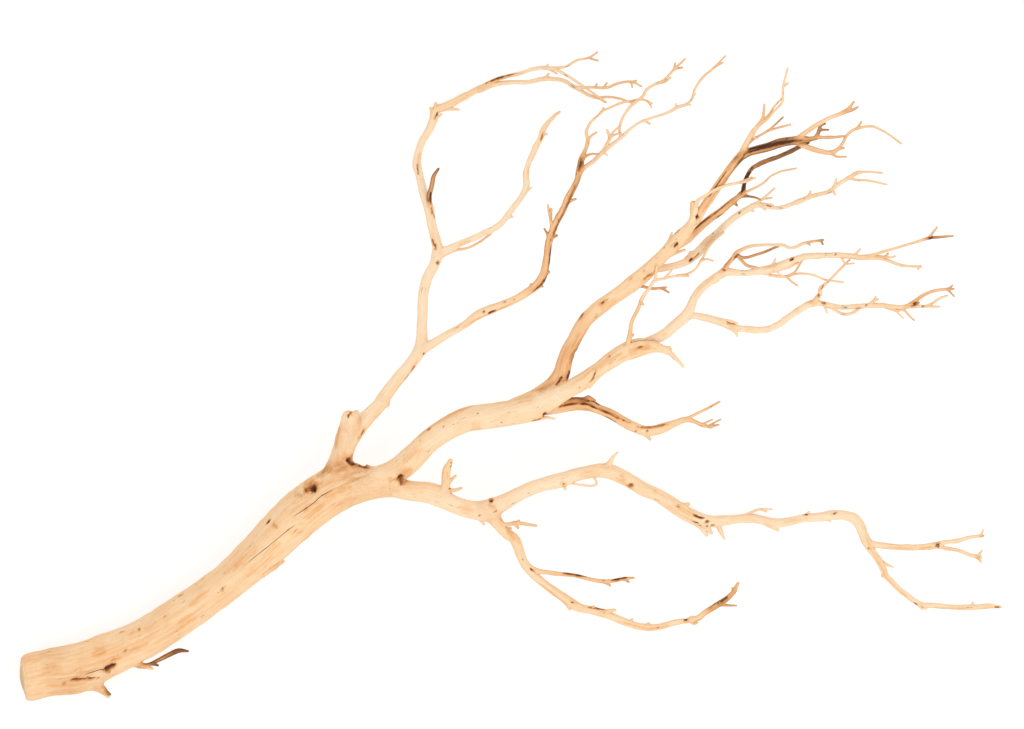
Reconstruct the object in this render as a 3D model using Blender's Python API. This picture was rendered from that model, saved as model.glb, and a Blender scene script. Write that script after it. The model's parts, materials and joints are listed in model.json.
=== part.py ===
"""A branch of sandblasted driftwood, grown as one piece and lying on a level surface.

Frame: +X along the branch from its sawn end to its tips, +Y across it, +Z up.
The origin is under the middle of the branch, on the surface that it rests on.

Each limb is a round tube that tapers along a row of stations. A station is
(x, y, z, diameter) in millimetres, measured from a point near the middle of the
branch, and each limb starts inside the limb that it grows from.
"""
import bpy
import bmesh
from mathutils import Matrix, Vector

MILLIMETRE = 0.001
THINNEST_TWIG = 1.6
WELD_DISTANCE = 0.000001
WOOD_COLOUR = (0.80, 0.55, 0.33, 1.0)
WOOD_ROUGHNESS = 0.75

# Rings round a tube, as a curve's bevel_resolution: the tube has 4 + 2 * n sides.
TRUNK_RINGS = 6
LIMB_RINGS = 3
BRANCH_RINGS = 2
TWIG_RINGS = 1


def trunk_limbs():
    """The thick trunk from its sawn end to the great fork, and the leader that broke off beside it."""
    return [
        ("trunk", TRUNK_RINGS, [
            (-438, -270, 21.5, 41), (-420, -268, 21, 41), (-400, -264.5, 21, 42), (-380, -259, 21.5, 42),
            (-358, -249.5, 21.5, 39.5), (-340, -242, 22.5, 38), (-318, -230.5, 24.5, 36),
            (-300, -218, 27.5, 35.5), (-280, -204.5, 31, 34.5), (-250, -180.5, 36.5, 35),
            (-230, -162, 40.5, 36.5), (-210, -143.5, 44.5, 40), (-190, -126, 48, 42),
            (-170, -110, 51.5, 42), (-150, -99, 54, 43), (-130, -98, 55, 32), (-115, -99, 55, 24)]),
        ("broken_leader", BRANCH_RINGS, [
            (-150, -75, 57, 12), (-148, -58, 63, 13), (-146, -46, 68, 13.5), (-144, -34, 73, 12.5)]),
    ]


def left_limbs():
    """The limb that bends away from the fork to the far side, comes down to the surface and hooks over."""
    return [
        ("left_limb", LIMB_RINGS, [
            (-152, -95, 55, 18), (-149, -72, 58, 18), (-141, -48, 61, 16), (-130, -38, 60, 13),
            (-120, -28, 58, 11.5), (-110, -14, 55, 11), (-100, -1, 52, 10.5), (-90, 11, 48, 10.5),
            (-83, 22, 45, 10.5), (-80.5, 32, 43, 10), (-80, 45, 40, 9), (-79.5, 60, 37, 8.5),
            (-79, 75, 34, 8.5), (-76, 88, 31, 8.8), (-69, 100, 29, 9), (-65.5, 111, 27, 9),
            (-67.5, 125, 24, 8), (-70.5, 137, 22, 7.8), (-72, 147, 20, 7.8), (-74.5, 155, 18, 7.5),
            (-78.5, 165, 16, 7), (-82, 180, 12, 6.3), (-84.5, 190, 9.5, 7), (-83.2, 200, 7.5, 5.6),
            (-80.5, 210, 6, 5.6), (-74.7, 220, 4.6, 6), (-69.5, 230, 3.5, 6.3), (-67.5, 238.5, 3.25, 6.5),
            (-60, 241.5, 4, 6.3), (-50, 246, 6, 6), (-40, 251, 9, 5.5), (-30, 256.5, 12, 5.2),
            (-22, 260.5, 14.5, 4.6)]),
        ("hook_twig", TWIG_RINGS, [
            (-28, 257.5, 12.5, 4), (-15, 262, 15, 3.8), (0, 264, 18, 3.2), (15, 263.8, 20, 3.2),
            (30, 266.5, 23, 3.5), (42, 266, 26, 3.3), (50, 264.5, 28, 3.3), (56, 260.5, 30, 3),
            (63, 259, 32, 2.8), (70, 259.5, 34, 2.2), (88, 259.5, 39, 2), (96, 262.8, 41, 2),
            (110.5, 264, 45, 1.6), (117.5, 260.3, 47, 1.6)]),
        ("hook_twig_upper", TWIG_RINGS, [
            (-27, 258, 13, 4), (-15, 265.5, 18, 3.2), (-3, 269.5, 22, 3), (10, 272.5, 27, 2.8),
            (20, 276, 31, 3), (33, 277, 36, 2.8), (40, 275.5, 39, 2.2), (50, 270.5, 43, 2.2),
            (60, 264, 46, 1.8), (86, 246, 51, 1.6)]),
        ("hook_twig_high", TWIG_RINGS, [
            (30, 276.8, 35, 2.4), (40, 277, 38, 2), (49, 278, 41, 1.8), (60, 284, 46, 1.6),
            (70, 286, 50, 1.6), (78, 291, 54, 1.6)]),
        ("hook_twig_low", TWIG_RINGS, [
            (54, 261.5, 29, 2.4), (62, 257, 30, 2.4), (78, 250, 32, 2), (87, 250.8, 34, 1.6),
            (95, 250, 36, 1.6), (108.8, 245.7, 40, 1.6)]),
        ("dark_spur", TWIG_RINGS, [
            (-71.5, 146, 20, 4), (-73, 163, 24, 3.6), (-71, 170, 27, 3.6), (-69, 180, 30, 3),
            (-65, 186, 32, 1.6)]),
        ("side_limb", BRANCH_RINGS, [
            (-67, 109, 27, 7), (-55, 113.5, 29, 6.5), (-45, 118.5, 31, 5.2), (-32, 123.5, 34, 5),
            (-24, 127.5, 36, 5), (-15, 131.5, 38, 5), (-8, 136.5, 40, 5), (-2, 144, 42, 5),
            (10, 160, 46, 4.6), (14, 167, 48, 5), (15, 185, 52, 4.3), (22, 203, 56, 4.4),
            (27, 213, 58, 4.6), (30, 222, 60, 4.5), (34, 229, 61, 3.5), (44, 238, 62, 1.6)]),
        ("side_twig", TWIG_RINGS, [
            (-62, 108, 26, 3.5), (-50, 113, 24.5, 2.4), (-40, 114.5, 24, 1.8), (-30, 119, 25, 1.8),
            (-18, 127.5, 28, 1.6)]),
    ]


def spray_limbs():
    """The slender brown limb that leaves the left limb and ends in a high spray of twigs."""
    return [
        ("brown_limb", BRANCH_RINGS, [
            (-82, 22, 45, 8), (-70, 29, 46, 7.5), (-60, 35.2, 48, 6.5), (-40, 47, 53, 6.2),
            (-30, 54.5, 56, 7.4), (-20, 58.8, 59, 7.6), (-10, 62.6, 62, 6.5), (0, 66.8, 65, 6),
            (10, 71.6, 67, 5.8), (18, 77, 69, 6.2), (24, 82, 71, 6.8), (29, 90, 74, 6),
            (31.5, 100, 77, 5.6), (33, 110, 80, 5.4), (34.5, 120, 83, 5.6), (37.5, 130, 86, 5.6),
            (42.5, 141, 89, 5.2), (47.5, 150, 91, 5.3), (51, 159, 93, 5.3), (56.5, 169, 95, 4.8),
            (60.5, 178, 97, 4.4), (62, 187, 99, 5), (64, 195, 101, 4), (67, 203, 103, 2.8),
            (69.5, 211, 105, 2.6), (68, 219, 107, 2.2), (70, 225, 109, 1.9), (75, 231, 111, 1.7),
            (82, 237.5, 113, 1.6), (91, 242, 114, 1.6), (101, 246, 115, 1.6), (110, 247.5, 116, 1.6),
            (118, 248.5, 117, 1.6), (127, 245, 118, 1.6)]),
        ("fork_twig", TWIG_RINGS, [
            (37, 133, 87, 2.4), (36, 141, 89, 2), (34.5, 148, 91, 1.8), (33.5, 153.5, 92, 1.6)]),
        ("spray_twig_right", TWIG_RINGS, [
            (61, 181, 97.5, 3.2), (67, 187.5, 98, 3.2), (75, 193.5, 99, 3.4), (83, 201.5, 100, 3.6),
            (90, 207, 101, 3), (96, 211.5, 102, 2.8), (102, 216.5, 103, 3), (109, 223, 105, 2),
            (117, 228.3, 107, 1.9), (126, 231.5, 109, 2), (143, 237.5, 114, 2.2), (151, 241.8, 117, 2.6),
            (158, 244, 120, 1.8), (163, 249, 123, 1.6), (165.5, 257, 127, 1.6), (175.5, 271, 135, 1.6),
            (180, 274.5, 138, 1.6), (193, 287.5, 146, 1.6)]),
        ("spray_twig_middle", TWIG_RINGS, [
            (99, 214.5, 102.5, 2.2), (98, 221, 106, 1.8), (99.5, 229, 110, 1.7), (103, 236, 114, 1.7),
            (108, 242.5, 119, 2), (114, 247.5, 123, 2), (119, 251.5, 126, 2), (122, 257, 129, 1.8),
            (129, 261.8, 132, 1.8), (136, 265, 135, 1.6), (148, 276.5, 143, 1.6), (157, 285, 149, 1.6)]),
        ("spray_twig_left", TWIG_RINGS, [
            (84, 202.5, 100, 2.6), (86.5, 208, 102, 2.4), (89, 213.5, 105, 2.2), (86.8, 221, 109, 1.6)]),
    ]


def middle_limbs():
    """The heavy middle limb, which carries the two upper limbs, and the hooked limb below it."""
    return [
        ("middle_limb", LIMB_RINGS + 1, [
            (-155, -100, 54, 30), (-125, -93, 60, 26), (-103.5, -86, 64, 22), (-88, -74, 67, 21.5),
            (-73.5, -59.5, 70, 20), (-60, -49.5, 73, 20.5), (-40, -39.5, 77, 21.5), (-20, -36.3, 80, 22),
            (0, -33.5, 83, 23), (20, -28, 86, 24), (35, -21, 89, 18), (50, -13, 92, 14.5),
            (60, -8, 94, 14.5), (70, -2.5, 96, 13.5), (80, 5.5, 98, 11.5), (90, 13.5, 99.5, 12.5),
            (100, 20, 101, 13), (110, 24.5, 102, 14), (120, 27, 102.5, 13), (128, 26, 103, 9.5),
            (136, 24.5, 103.5, 6.5), (143, 21, 103, 4.6), (149, 16, 102, 3), (156, 8.5, 100, 2)]),
        ("far_limb", BRANCH_RINGS, [
            (112, 24, 96, 8), (122, 30, 95, 8.5), (138, 38, 95, 9), (150, 47.5, 95.5, 8.8),
            (156.5, 53, 96, 9), (161, 60, 96.5, 8), (165, 70, 97.5, 6.8), (173, 80, 99, 6.8),
            (180, 85.5, 100, 7), (187, 90, 101, 7.2), (194, 93.5, 102, 7), (203, 92.8, 103.5, 5.2),
            (212, 92.5, 105, 5), (221, 94, 106, 6), (230, 95.5, 107, 7.2), (238, 97.8, 108.5, 6.8),
            (245, 101, 110, 6), (253, 104.5, 111.5, 4.8), (262, 107.3, 113, 4.3), (275, 108.3, 114, 4.2),
            (290, 108.8, 115, 4.2), (303, 108.3, 115, 4.2), (315, 106.8, 114, 4.2), (324, 107, 113, 3.6),
            (331, 106.8, 112, 3), (338, 104.5, 111, 2), (352, 99.6, 109, 1.7), (369, 98.5, 107, 1.8)]),
        ("far_twig", TWIG_RINGS, [
            (320, 107, 113.5, 2.8), (330, 110.3, 115, 2.1), (342, 114, 118, 1.8), (366, 121, 124, 1.8),
            (377, 124.5, 127, 2), (386, 124.7, 129, 1.6), (398, 125.8, 131, 1.6)]),
        ("far_twig_upper", TWIG_RINGS, [
            (376, 124, 127, 1.8), (380.5, 129, 129, 1.6), (384.5, 133.5, 131, 1.6)]),
        ("brown_twig", TWIG_RINGS, [
            (190, 91, 101, 4.5), (194, 98, 104, 3.4), (200, 105, 108, 3.2), (203, 110, 111, 3.4),
            (208, 113.8, 114, 2.6), (215, 116.8, 117, 2.2), (226, 118, 121, 2), (238, 118.1, 125, 2),
            (246, 117.5, 128, 2.2), (250.5, 115, 130, 1.8), (256.5, 115.7, 132, 2), (262, 118.4, 134, 2),
            (281, 122, 140, 1.6)]),
        ("brown_twig_lower", TWIG_RINGS, [
            (203, 109, 110.5, 2.2), (208, 106.5, 112, 2), (222, 109.2, 116, 1.6), (241, 116.5, 122, 1.6)]),
        ("thin_twig", TWIG_RINGS, [
            (228, 92.5, 105, 2.4), (237, 89.8, 102, 2), (248, 89.3, 100, 1.8), (257, 91.5, 98, 1.6),
            (273, 90.3, 94, 1.6), (281, 87, 92.5, 1.6), (299, 84, 91, 1.6)]),
        ("near_limb", BRANCH_RINGS, [
            (155, 50, 95, 7), (165, 54.3, 94.5, 6), (172, 53.5, 93.5, 5.6), (188, 49, 91.5, 6.2),
            (196, 46, 90.5, 6.8), (203, 43, 89.5, 5.4), (214, 42, 88.5, 4.8), (225, 41, 87, 5.2),
            (233, 42.3, 86, 5.2), (240, 45.5, 85, 5.2), (254, 55.5, 84, 5.3), (262, 60.5, 84, 5.6),
            (269, 64.3, 84.5, 5.8), (275, 65.3, 85, 5.4), (285, 63.7, 86, 4.4), (297, 61.6, 87.5, 3.9),
            (310, 62.3, 89, 4), (335, 63, 91, 3.9), (348, 61.8, 92, 3.2), (360, 62.2, 93.5, 3),
            (370, 62.3, 95, 2.2), (386, 62, 97, 1.6)]),
        ("near_twig", TWIG_RINGS, [
            (355, 62, 93, 2.4), (362, 66, 95, 3), (368, 71, 97.5, 2.6), (377, 75.6, 101, 2.2),
            (387, 77.7, 105, 2), (399, 78.3, 109, 1.6)]),
        ("near_twig_lower", TWIG_RINGS, [
            (374, 62.4, 95.5, 1.7), (380, 65.5, 97, 1.6), (386, 69.5, 99, 1.6), (393, 72, 101, 1.6)]),
        ("knob_twig", TWIG_RINGS, [
            (273, 65, 85, 3.5), (276, 70, 89, 3), (279, 74, 92, 2.6), (279.5, 79, 94, 2),
            (283, 82.5, 96, 1.7), (296, 96.5, 103, 1.6), (304.5, 104.5, 108, 1.6)]),
        ("lower_hook", LIMB_RINGS, [
            (22, -30, 84, 9), (34, -30.5, 80, 9), (44, -28, 77, 11), (53, -26, 75, 11.5),
            (62, -24.8, 73.5, 11.8), (70, -25.5, 72, 11.5), (76, -28.5, 71, 9.6), (84, -32.5, 69.5, 8.2),
            (92, -36.3, 68, 8), (100, -41.3, 67, 8), (110, -46.5, 66, 8.4), (120, -49.6, 65.5, 9),
            (130, -49.3, 66, 8.6), (140, -46, 67, 7.8), (150, -42, 68, 5.6), (158, -39.5, 69, 4.4),
            (166, -41.5, 70, 3), (173, -44.5, 71, 2.4), (181, -46.5, 72, 1.8)]),
        ("lower_hook_twig", TWIG_RINGS, [
            (155, -40.3, 68.7, 2.6), (165, -35.5, 71, 1.8), (181, -27.5, 76, 1.7), (188, -23.5, 78, 1.6)]),
    ]


def upper_limbs():
    """The limb that rises from under the middle limb, with its pale and dark side limbs."""
    return [
        ("rising_limb", LIMB_RINGS, [
            (8, -28, 79, 15), (28, -19, 77, 19), (40, -9, 78.5, 18), (45.5, 2, 82, 14), (48, 12, 87, 12.8),
            (51.5, 22, 93, 12.2), (56, 31, 98, 11.5), (61, 40, 103, 11.5), (67.5, 50, 108, 11.5),
            (75, 57, 113, 12), (83, 63.5, 117, 12), (92, 70, 121, 11), (101, 76.5, 125, 11),
            (110, 84, 129, 12.4), (119, 91.5, 133, 12.4), (128, 100, 137.5, 11), (137, 109, 142, 10.5),
            (146, 118, 147, 12), (153.5, 126.5, 151.5, 11), (161, 135, 156, 9), (167.5, 143, 160, 7.5),
            (173.5, 151.5, 164, 6.4), (187, 171, 173.5, 6.2), (200.5, 190, 182, 6),
            (206.5, 198.5, 185.5, 6.5), (213, 202.5, 187.5, 5.6), (221, 204, 188.5, 6),
            (230, 206.2, 189.5, 7), (240, 209.7, 190.5, 7), (250, 211.6, 191, 7), (259, 212.8, 191, 6.4),
            (268, 213.3, 190.5, 4.4), (277, 214.7, 190, 3), (287, 214.8, 189.5, 2.2), (300, 216, 189, 1.6)]),
        ("tip_upper", TWIG_RINGS, [
            (257, 212.5, 191, 3.6), (263, 217, 192, 3.6), (277, 226.5, 195, 3.4), (286, 231.5, 197, 3),
            (296, 235.3, 199, 3.2), (302, 238.3, 200, 3), (309, 246.5, 202, 1.6)]),
        ("tip_lower", TWIG_RINGS, [
            (256, 211, 190, 4), (263, 208, 188, 4.2), (271, 204.8, 186.5, 4.4), (280, 202.3, 185, 3.8),
            (289, 201.3, 184, 3.4), (295, 204.5, 184.5, 2.6), (299, 209.5, 185, 2), (302.5, 216, 186, 1.8),
            (308, 221.5, 187, 2), (316, 224, 188.5, 1.8), (325, 225, 189.5, 1.6), (334, 221.5, 190.5, 1.6),
            (352, 209.5, 192, 1.6)]),
        ("tip_middle", TWIG_RINGS, [
            (274, 213.8, 190, 2.4), (277, 219, 189, 2.6), (279, 226.5, 189.5, 1.8)]),
        ("high_twig", TWIG_RINGS, [
            (208, 200, 186, 5), (211.5, 207.5, 190, 4.4), (215, 214.5, 193.5, 4), (219, 221.5, 197, 3.4),
            (223.5, 226.5, 200, 2.6), (230, 229.8, 203, 1.6), (237, 237.5, 207, 1.6),
            (245.5, 247.5, 212, 1.6), (245.5, 256, 215, 1.6), (250, 277, 221, 1.6)]),
        ("high_twig_left", TWIG_RINGS, [
            (222, 225, 199, 2.2), (226.5, 231.5, 202, 2.2), (228.2, 244, 206, 1.6)]),
        ("high_twig_right", TWIG_RINGS, [
            (210, 205, 188.5, 2.6), (217, 211.5, 189.5, 1.8), (232, 220.8, 193, 1.6), (245, 232.5, 197, 1.6)]),
        ("high_twig_side", TWIG_RINGS, [
            (231, 220.2, 192.8, 1.6), (243, 223.7, 195, 1.6), (252, 226, 197, 1.6)]),
        ("dark_limb", BRANCH_RINGS, [
            (148, 119, 147, 8), (157, 122.5, 146, 8), (165, 128.5, 146, 7.5), (173, 134.8, 146.5, 6.8),
            (181, 141, 147.5, 6.4), (190, 148, 149, 5.3), (198, 155.3, 151, 4.8), (205, 161, 153, 4),
            (208.8, 166.5, 155, 3), (209.5, 173, 157, 2.8), (212, 181, 160, 3), (216.5, 187.2, 163, 3.1),
            (223, 191, 166, 3.1), (240, 197.3, 172, 3.1), (249, 201.3, 175, 3.1), (258, 206, 178, 3.1),
            (267, 210.5, 180, 2.6)]),
        ("dark_limb_twig", TWIG_RINGS, [
            (203, 159.5, 152.5, 2.4), (212, 165, 155, 1.9), (228.5, 174, 160, 1.6), (233, 178.5, 162, 1.6),
            (241, 182.8, 165, 1.6), (257, 186.5, 170, 1.6)]),
        ("pale_limb", BRANCH_RINGS, [
            (116, 88, 132, 6), (124, 93, 131, 6.4), (133, 97, 130, 5.8), (143, 98.5, 129, 5.4),
            (152, 101, 128, 5.6), (159, 104.5, 127, 6.5), (165, 110.5, 126, 7.5), (178, 123.5, 124, 7.8),
            (186, 130.5, 123, 7), (195, 138.5, 122, 6), (205, 146, 121, 5.4), (213, 150.5, 120, 5.2),
            (220, 153.5, 120, 4.6), (227, 153.5, 120, 3.6), (234, 151.3, 120, 3), (243, 151.2, 121, 3),
            (252, 153.8, 122, 3), (261, 157.2, 123.5, 3.1), (268, 160.3, 125, 3.5), (276, 162.8, 126.5, 3),
            (285, 165, 128.5, 2.9), (297, 173.8, 132.5, 2.9), (306, 178.8, 135, 3), (312, 182.3, 137, 2.4),
            (318, 183.8, 139, 1.6), (334, 183, 142, 1.6)]),
        ("pale_twig", TWIG_RINGS, [
            (304, 178, 134.6, 1.8), (309.5, 176.4, 134, 1.6), (320, 175.7, 133, 1.6),
            (338.5, 172, 132, 1.6)]),
        ("pale_twig_upper", TWIG_RINGS, [
            (218, 152.8, 120, 2), (226, 158.5, 123, 1.6), (237.5, 168.5, 127, 1.6)]),
        ("crossing_twig", TWIG_RINGS, [
            (159, 133, 157, 5), (164, 144, 165, 4.8), (165.5, 152, 170, 4), (167, 157.5, 173, 3),
            (172, 161, 175.5, 2.2), (188, 169, 179, 2.2), (197, 172, 180, 2), (207, 174, 180.5, 2),
            (217, 178.5, 181, 1.6)]),
        ("long_twig", TWIG_RINGS, [
            (103, 22, 101, 5), (105, 30, 108, 3.8), (106.8, 38, 113, 3.2), (107.5, 46, 118, 2.8),
            (114.5, 63, 128, 2.8), (118.5, 70.5, 132, 2.8), (124, 78, 136, 2.4), (130, 85.5, 138, 2.2),
            (136, 87, 138, 1.8), (153, 90.5, 137, 1.6), (160, 92, 136.5, 1.6), (166, 95.5, 136, 1.6),
            (170.5, 102, 135.5, 1.6), (180, 118, 134.5, 1.6), (191, 129.5, 133.5, 1.6)]),
        ("bark_twig", TWIG_RINGS, [
            (112, 81, 129, 3), (118, 80.5, 127, 2.2), (126, 78.3, 125, 2.2), (140, 79.3, 123, 1.6)]),
    ]


def right_limbs():
    """The limb that runs on past the great fork, comes down to the surface and rises to the right tips."""
    return [
        ("right_limb", LIMB_RINGS, [
            (-150, -99, 54, 30), (-130, -98, 55, 28), (-115, -99, 55, 23), (-100, -102.5, 54, 17),
            (-90, -103.5, 53.5, 16.5), (-70, -106.5, 52, 18), (-50, -116.5, 50, 14), (-40, -120, 48.5, 14.5),
            (-25, -121, 47, 17), (-10, -115.5, 46, 15.5), (0, -110.5, 45, 13.5), (10, -105.2, 44, 12),
            (20, -101, 43, 12), (30, -97.7, 42, 12), (40, -95.2, 40.5, 13), (50, -92.6, 39, 12.5),
            (60, -89, 37, 11), (70, -86.8, 35, 11.2), (80, -85.2, 32.5, 12), (90, -87, 30, 13),
            (100, -91.5, 27, 12.7), (110, -97, 24, 11.7), (120, -102.8, 21, 11.3), (130, -106.5, 18, 11.3),
            (140, -112.3, 15, 12.2), (150, -119, 12, 12.6), (160, -125, 9, 12.4), (170, -129.5, 6.3, 12.4),
            (182, -131, 6.5, 9.5), (190, -130.5, 7.5, 9), (200, -129.5, 9, 7.5), (210, -128.5, 11, 7.3),
            (220, -128.8, 14, 7.5), (230, -131, 17, 7.8), (240, -132.5, 20, 8), (250, -131.5, 23, 7.5),
            (260, -129, 26, 7), (280, -127, 32, 7.8), (290, -125.3, 35, 7.5), (300, -125.7, 38, 7.5),
            (308, -128.5, 40, 7.5), (313, -132, 41, 7.5), (318, -144, 43, 7.5), (321, -150, 44, 8),
            (325, -156, 44, 6), (334, -168, 42, 5.5), (338.5, -180, 40, 4.5), (342, -185.5, 39, 4.3),
            (347, -191, 38, 4), (353, -196, 37, 4), (371, -207, 36, 4), (380, -207, 36.5, 4),
            (400, -208.5, 39.5, 3.6), (420, -208.3, 43, 3.4), (430, -207.3, 44.5, 3), (441, -208.5, 46, 1.6)]),
        ("right_fork", BRANCH_RINGS, [
            (319, -148, 43.8, 5.5), (325, -151.5, 45, 5.6), (332, -152.6, 46.5, 4.9), (345, -154.3, 49, 4.5),
            (360, -155, 52, 4.4), (372, -154.4, 55, 4.3), (384, -152.3, 58, 4.3), (392, -149.8, 60, 2.3),
            (401, -149.2, 62, 2), (412, -145.6, 65, 2), (427, -143.8, 69, 1.6)]),
        ("right_fork_lower", TWIG_RINGS, [
            (382, -152.5, 57.6, 2.8), (392, -154.8, 59, 2.2), (404, -157, 60, 2), (413, -160.8, 61, 2.1),
            (423, -163.8, 62, 2.6)]),
        ("low_limb", BRANCH_RINGS, [
            (-22, -121, 47, 13), (-12, -131, 46, 11), (-4, -140.5, 44, 9), (3, -147, 42.5, 9.2),
            (7, -155, 40.5, 8.6), (9.5, -163, 38.5, 8), (14, -171.5, 36, 7.6), (22, -180.5, 32.5, 7.2),
            (31, -188, 29.5, 6.8), (50, -201.5, 24, 7.4), (56, -205.8, 22.5, 8), (63, -209.3, 21, 6.8),
            (74, -211.5, 18.5, 6), (85, -214.5, 16.5, 6), (97, -219.3, 14.5, 5.8), (110, -224.2, 12.5, 5.2),
            (124, -226.8, 11.5, 5), (136, -225.5, 11.5, 4.6), (148, -222.2, 12.5, 4.2), (160, -220.3, 14, 4.1),
            (168, -219, 15.5, 4), (175, -214.2, 17, 4), (191, -204, 21.5, 4), (197, -199.5, 24, 3.4),
            (201.5, -194, 26, 2.4), (205, -186.5, 29, 1.8)]),
        ("low_limb_twig", TWIG_RINGS, [
            (14, -171, 36, 4.5), (23, -175.3, 36, 4), (34, -177.3, 37, 3.4), (46, -178.6, 38.5, 3.1),
            (58, -180, 40, 2.7), (70, -183, 42, 2.7), (82, -185.2, 44, 3), (92, -184.8, 46, 3),
            (101, -183, 48, 2.6), (110.5, -182, 50, 1.6)]),
        ("crotch_twig", TWIG_RINGS, [
            (-15, -127, 48, 3.4), (-5, -134, 50, 3), (4, -132.8, 52, 2.7), (23, -135, 54, 1.6)]),
        ("right_twig", TWIG_RINGS, [
            (209, -126.5, 12, 2), (216, -123.3, 14, 1.7), (223, -120.6, 16, 1.6), (235, -120.2, 18, 1.6)]),
        ("spur", TWIG_RINGS, [
            (86, -84, 33, 5), (89.5, -77.5, 36, 3.2), (92.5, -72.5, 38.5, 2.4), (96, -68.8, 40, 1.8)]),
        ("splinter", TWIG_RINGS, [
            (165, -127, 8, 6), (172, -136.5, 6.5, 5), (176, -143.5, 6, 2.4)]),
        ("upright_stub", TWIG_RINGS, [
            (-58, -108, 52, 7), (-57.5, -95, 58, 6.6), (-56.5, -84, 63, 6), (-53.5, -77, 66, 3)]),
    ]


def clear_scene():
    for old in list(bpy.data.objects):
        bpy.data.objects.remove(old, do_unlink=True)


def new_collection(name):
    collection = bpy.data.collections.new(name)
    bpy.context.scene.collection.children.link(collection)
    return collection


def wood():
    material = bpy.data.materials.new("bare_wood")
    material.use_nodes = True
    shader = material.node_tree.nodes["Principled BSDF"]
    shader.inputs["Base Color"].default_value = WOOD_COLOUR
    shader.inputs["Roughness"].default_value = WOOD_ROUGHNESS
    shader.inputs["Metallic"].default_value = 0.0
    return material


def limb_mesh(name, rings, stations):
    """A closed mesh of one limb: a round, tapering tube through its stations, with flat ends."""
    curve = bpy.data.curves.new(name + "_curve", "CURVE")
    curve.dimensions = "3D"
    curve.bevel_depth = 1.0
    curve.bevel_resolution = rings
    curve.use_fill_caps = True
    spline = curve.splines.new("POLY")
    spline.points.add(len(stations) - 1)
    for point, (x, y, z, diameter) in zip(spline.points, stations):
        point.co = (x * MILLIMETRE, y * MILLIMETRE, z * MILLIMETRE, 1.0)
        point.radius = max(diameter, THINNEST_TWIG) / 2 * MILLIMETRE
    tube = bpy.data.objects.new(name + "_tube", curve)
    bpy.context.scene.collection.objects.link(tube)
    evaluated = tube.evaluated_get(bpy.context.evaluated_depsgraph_get())
    mesh = bpy.data.meshes.new_from_object(evaluated)
    bpy.data.objects.remove(tube, do_unlink=True)
    shape = bmesh.new()
    shape.from_mesh(mesh)
    bmesh.ops.remove_doubles(shape, verts=shape.verts, dist=WELD_DISTANCE)
    bmesh.ops.recalc_face_normals(shape, faces=shape.faces)
    shape.to_mesh(mesh)
    shape.free()
    return mesh


def grow_together(first, operands):
    """Joins the limbs in the operands collection to the first one, as one closed skin."""
    join = first.modifiers.new("grow_together", "BOOLEAN")
    join.operation = "UNION"
    join.operand_type = "COLLECTION"
    join.collection = operands
    join.solver = "EXACT"
    evaluated = first.evaluated_get(bpy.context.evaluated_depsgraph_get())
    joined = bpy.data.meshes.new_from_object(evaluated)
    first.modifiers.remove(join)
    return joined


def set_down(mesh):
    """Moves the mesh so that its box is centred over the origin and its lowest point is at z = 0."""
    corners = [vertex.co for vertex in mesh.vertices]
    low = Vector(min(corner[axis] for corner in corners) for axis in range(3))
    high = Vector(max(corner[axis] for corner in corners) for axis in range(3))
    middle = (low + high) / 2
    mesh.transform(Matrix.Translation((-middle.x, -middle.y, -low.z)))


def build():
    clear_scene()
    parts = new_collection("driftwood_branch")
    operands = new_collection("limbs")
    limbs = trunk_limbs() + left_limbs() + spray_limbs() + middle_limbs() + upper_limbs() + right_limbs()
    trunk, *others = limbs
    driftwood = bpy.data.objects.new("driftwood", limb_mesh(*trunk))
    parts.objects.link(driftwood)
    for limb in others:
        piece = bpy.data.objects.new(limb[0], limb_mesh(*limb))
        piece.hide_render = True
        piece.display_type = "WIRE"
        operands.objects.link(piece)
    driftwood.data = grow_together(driftwood, operands)
    for piece in list(operands.objects):
        bpy.data.objects.remove(piece, do_unlink=True)
    set_down(driftwood.data)
    driftwood.data.materials.clear()
    driftwood.data.materials.append(wood())
    driftwood.data.shade_smooth()


build()
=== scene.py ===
"""A branch of sandblasted driftwood, lying on a pale floor and seen from straight above.

The branch is one closed skin. Each limb is a smooth tube through its stations, and the tubes are united,
filleted where they meet, and given flutes, lobes, knots and cracks. Stations are (x, y, z, diameter) in
millimetres from a point near the branch's middle. Their x and y are where the camera sees them against the
view's level, and draw_in turns these into true places.
"""
import json
import math
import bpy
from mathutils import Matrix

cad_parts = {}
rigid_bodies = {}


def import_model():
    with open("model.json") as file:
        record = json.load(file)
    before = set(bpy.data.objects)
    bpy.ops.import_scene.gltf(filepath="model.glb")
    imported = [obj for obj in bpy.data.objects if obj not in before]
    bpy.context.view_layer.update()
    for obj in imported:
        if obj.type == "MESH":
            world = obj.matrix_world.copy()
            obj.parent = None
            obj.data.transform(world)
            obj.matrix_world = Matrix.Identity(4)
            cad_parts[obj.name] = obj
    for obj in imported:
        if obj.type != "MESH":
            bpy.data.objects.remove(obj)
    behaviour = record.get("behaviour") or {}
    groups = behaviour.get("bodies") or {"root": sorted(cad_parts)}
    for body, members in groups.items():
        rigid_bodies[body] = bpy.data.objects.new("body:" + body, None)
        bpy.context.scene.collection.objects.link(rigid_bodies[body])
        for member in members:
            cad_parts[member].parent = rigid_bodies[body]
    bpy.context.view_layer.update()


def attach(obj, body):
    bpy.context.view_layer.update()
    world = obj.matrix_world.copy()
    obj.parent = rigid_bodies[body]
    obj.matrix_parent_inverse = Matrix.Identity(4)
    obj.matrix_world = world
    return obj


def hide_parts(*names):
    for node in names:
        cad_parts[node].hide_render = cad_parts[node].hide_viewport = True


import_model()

from types import SimpleNamespace

import bpy
import numpy as np

MILLIMETRE = 0.001
# The branch's middle, in the millimetres of the tables below.
MIDDLE = np.array([0.4, 0.7, 0.0])
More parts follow.
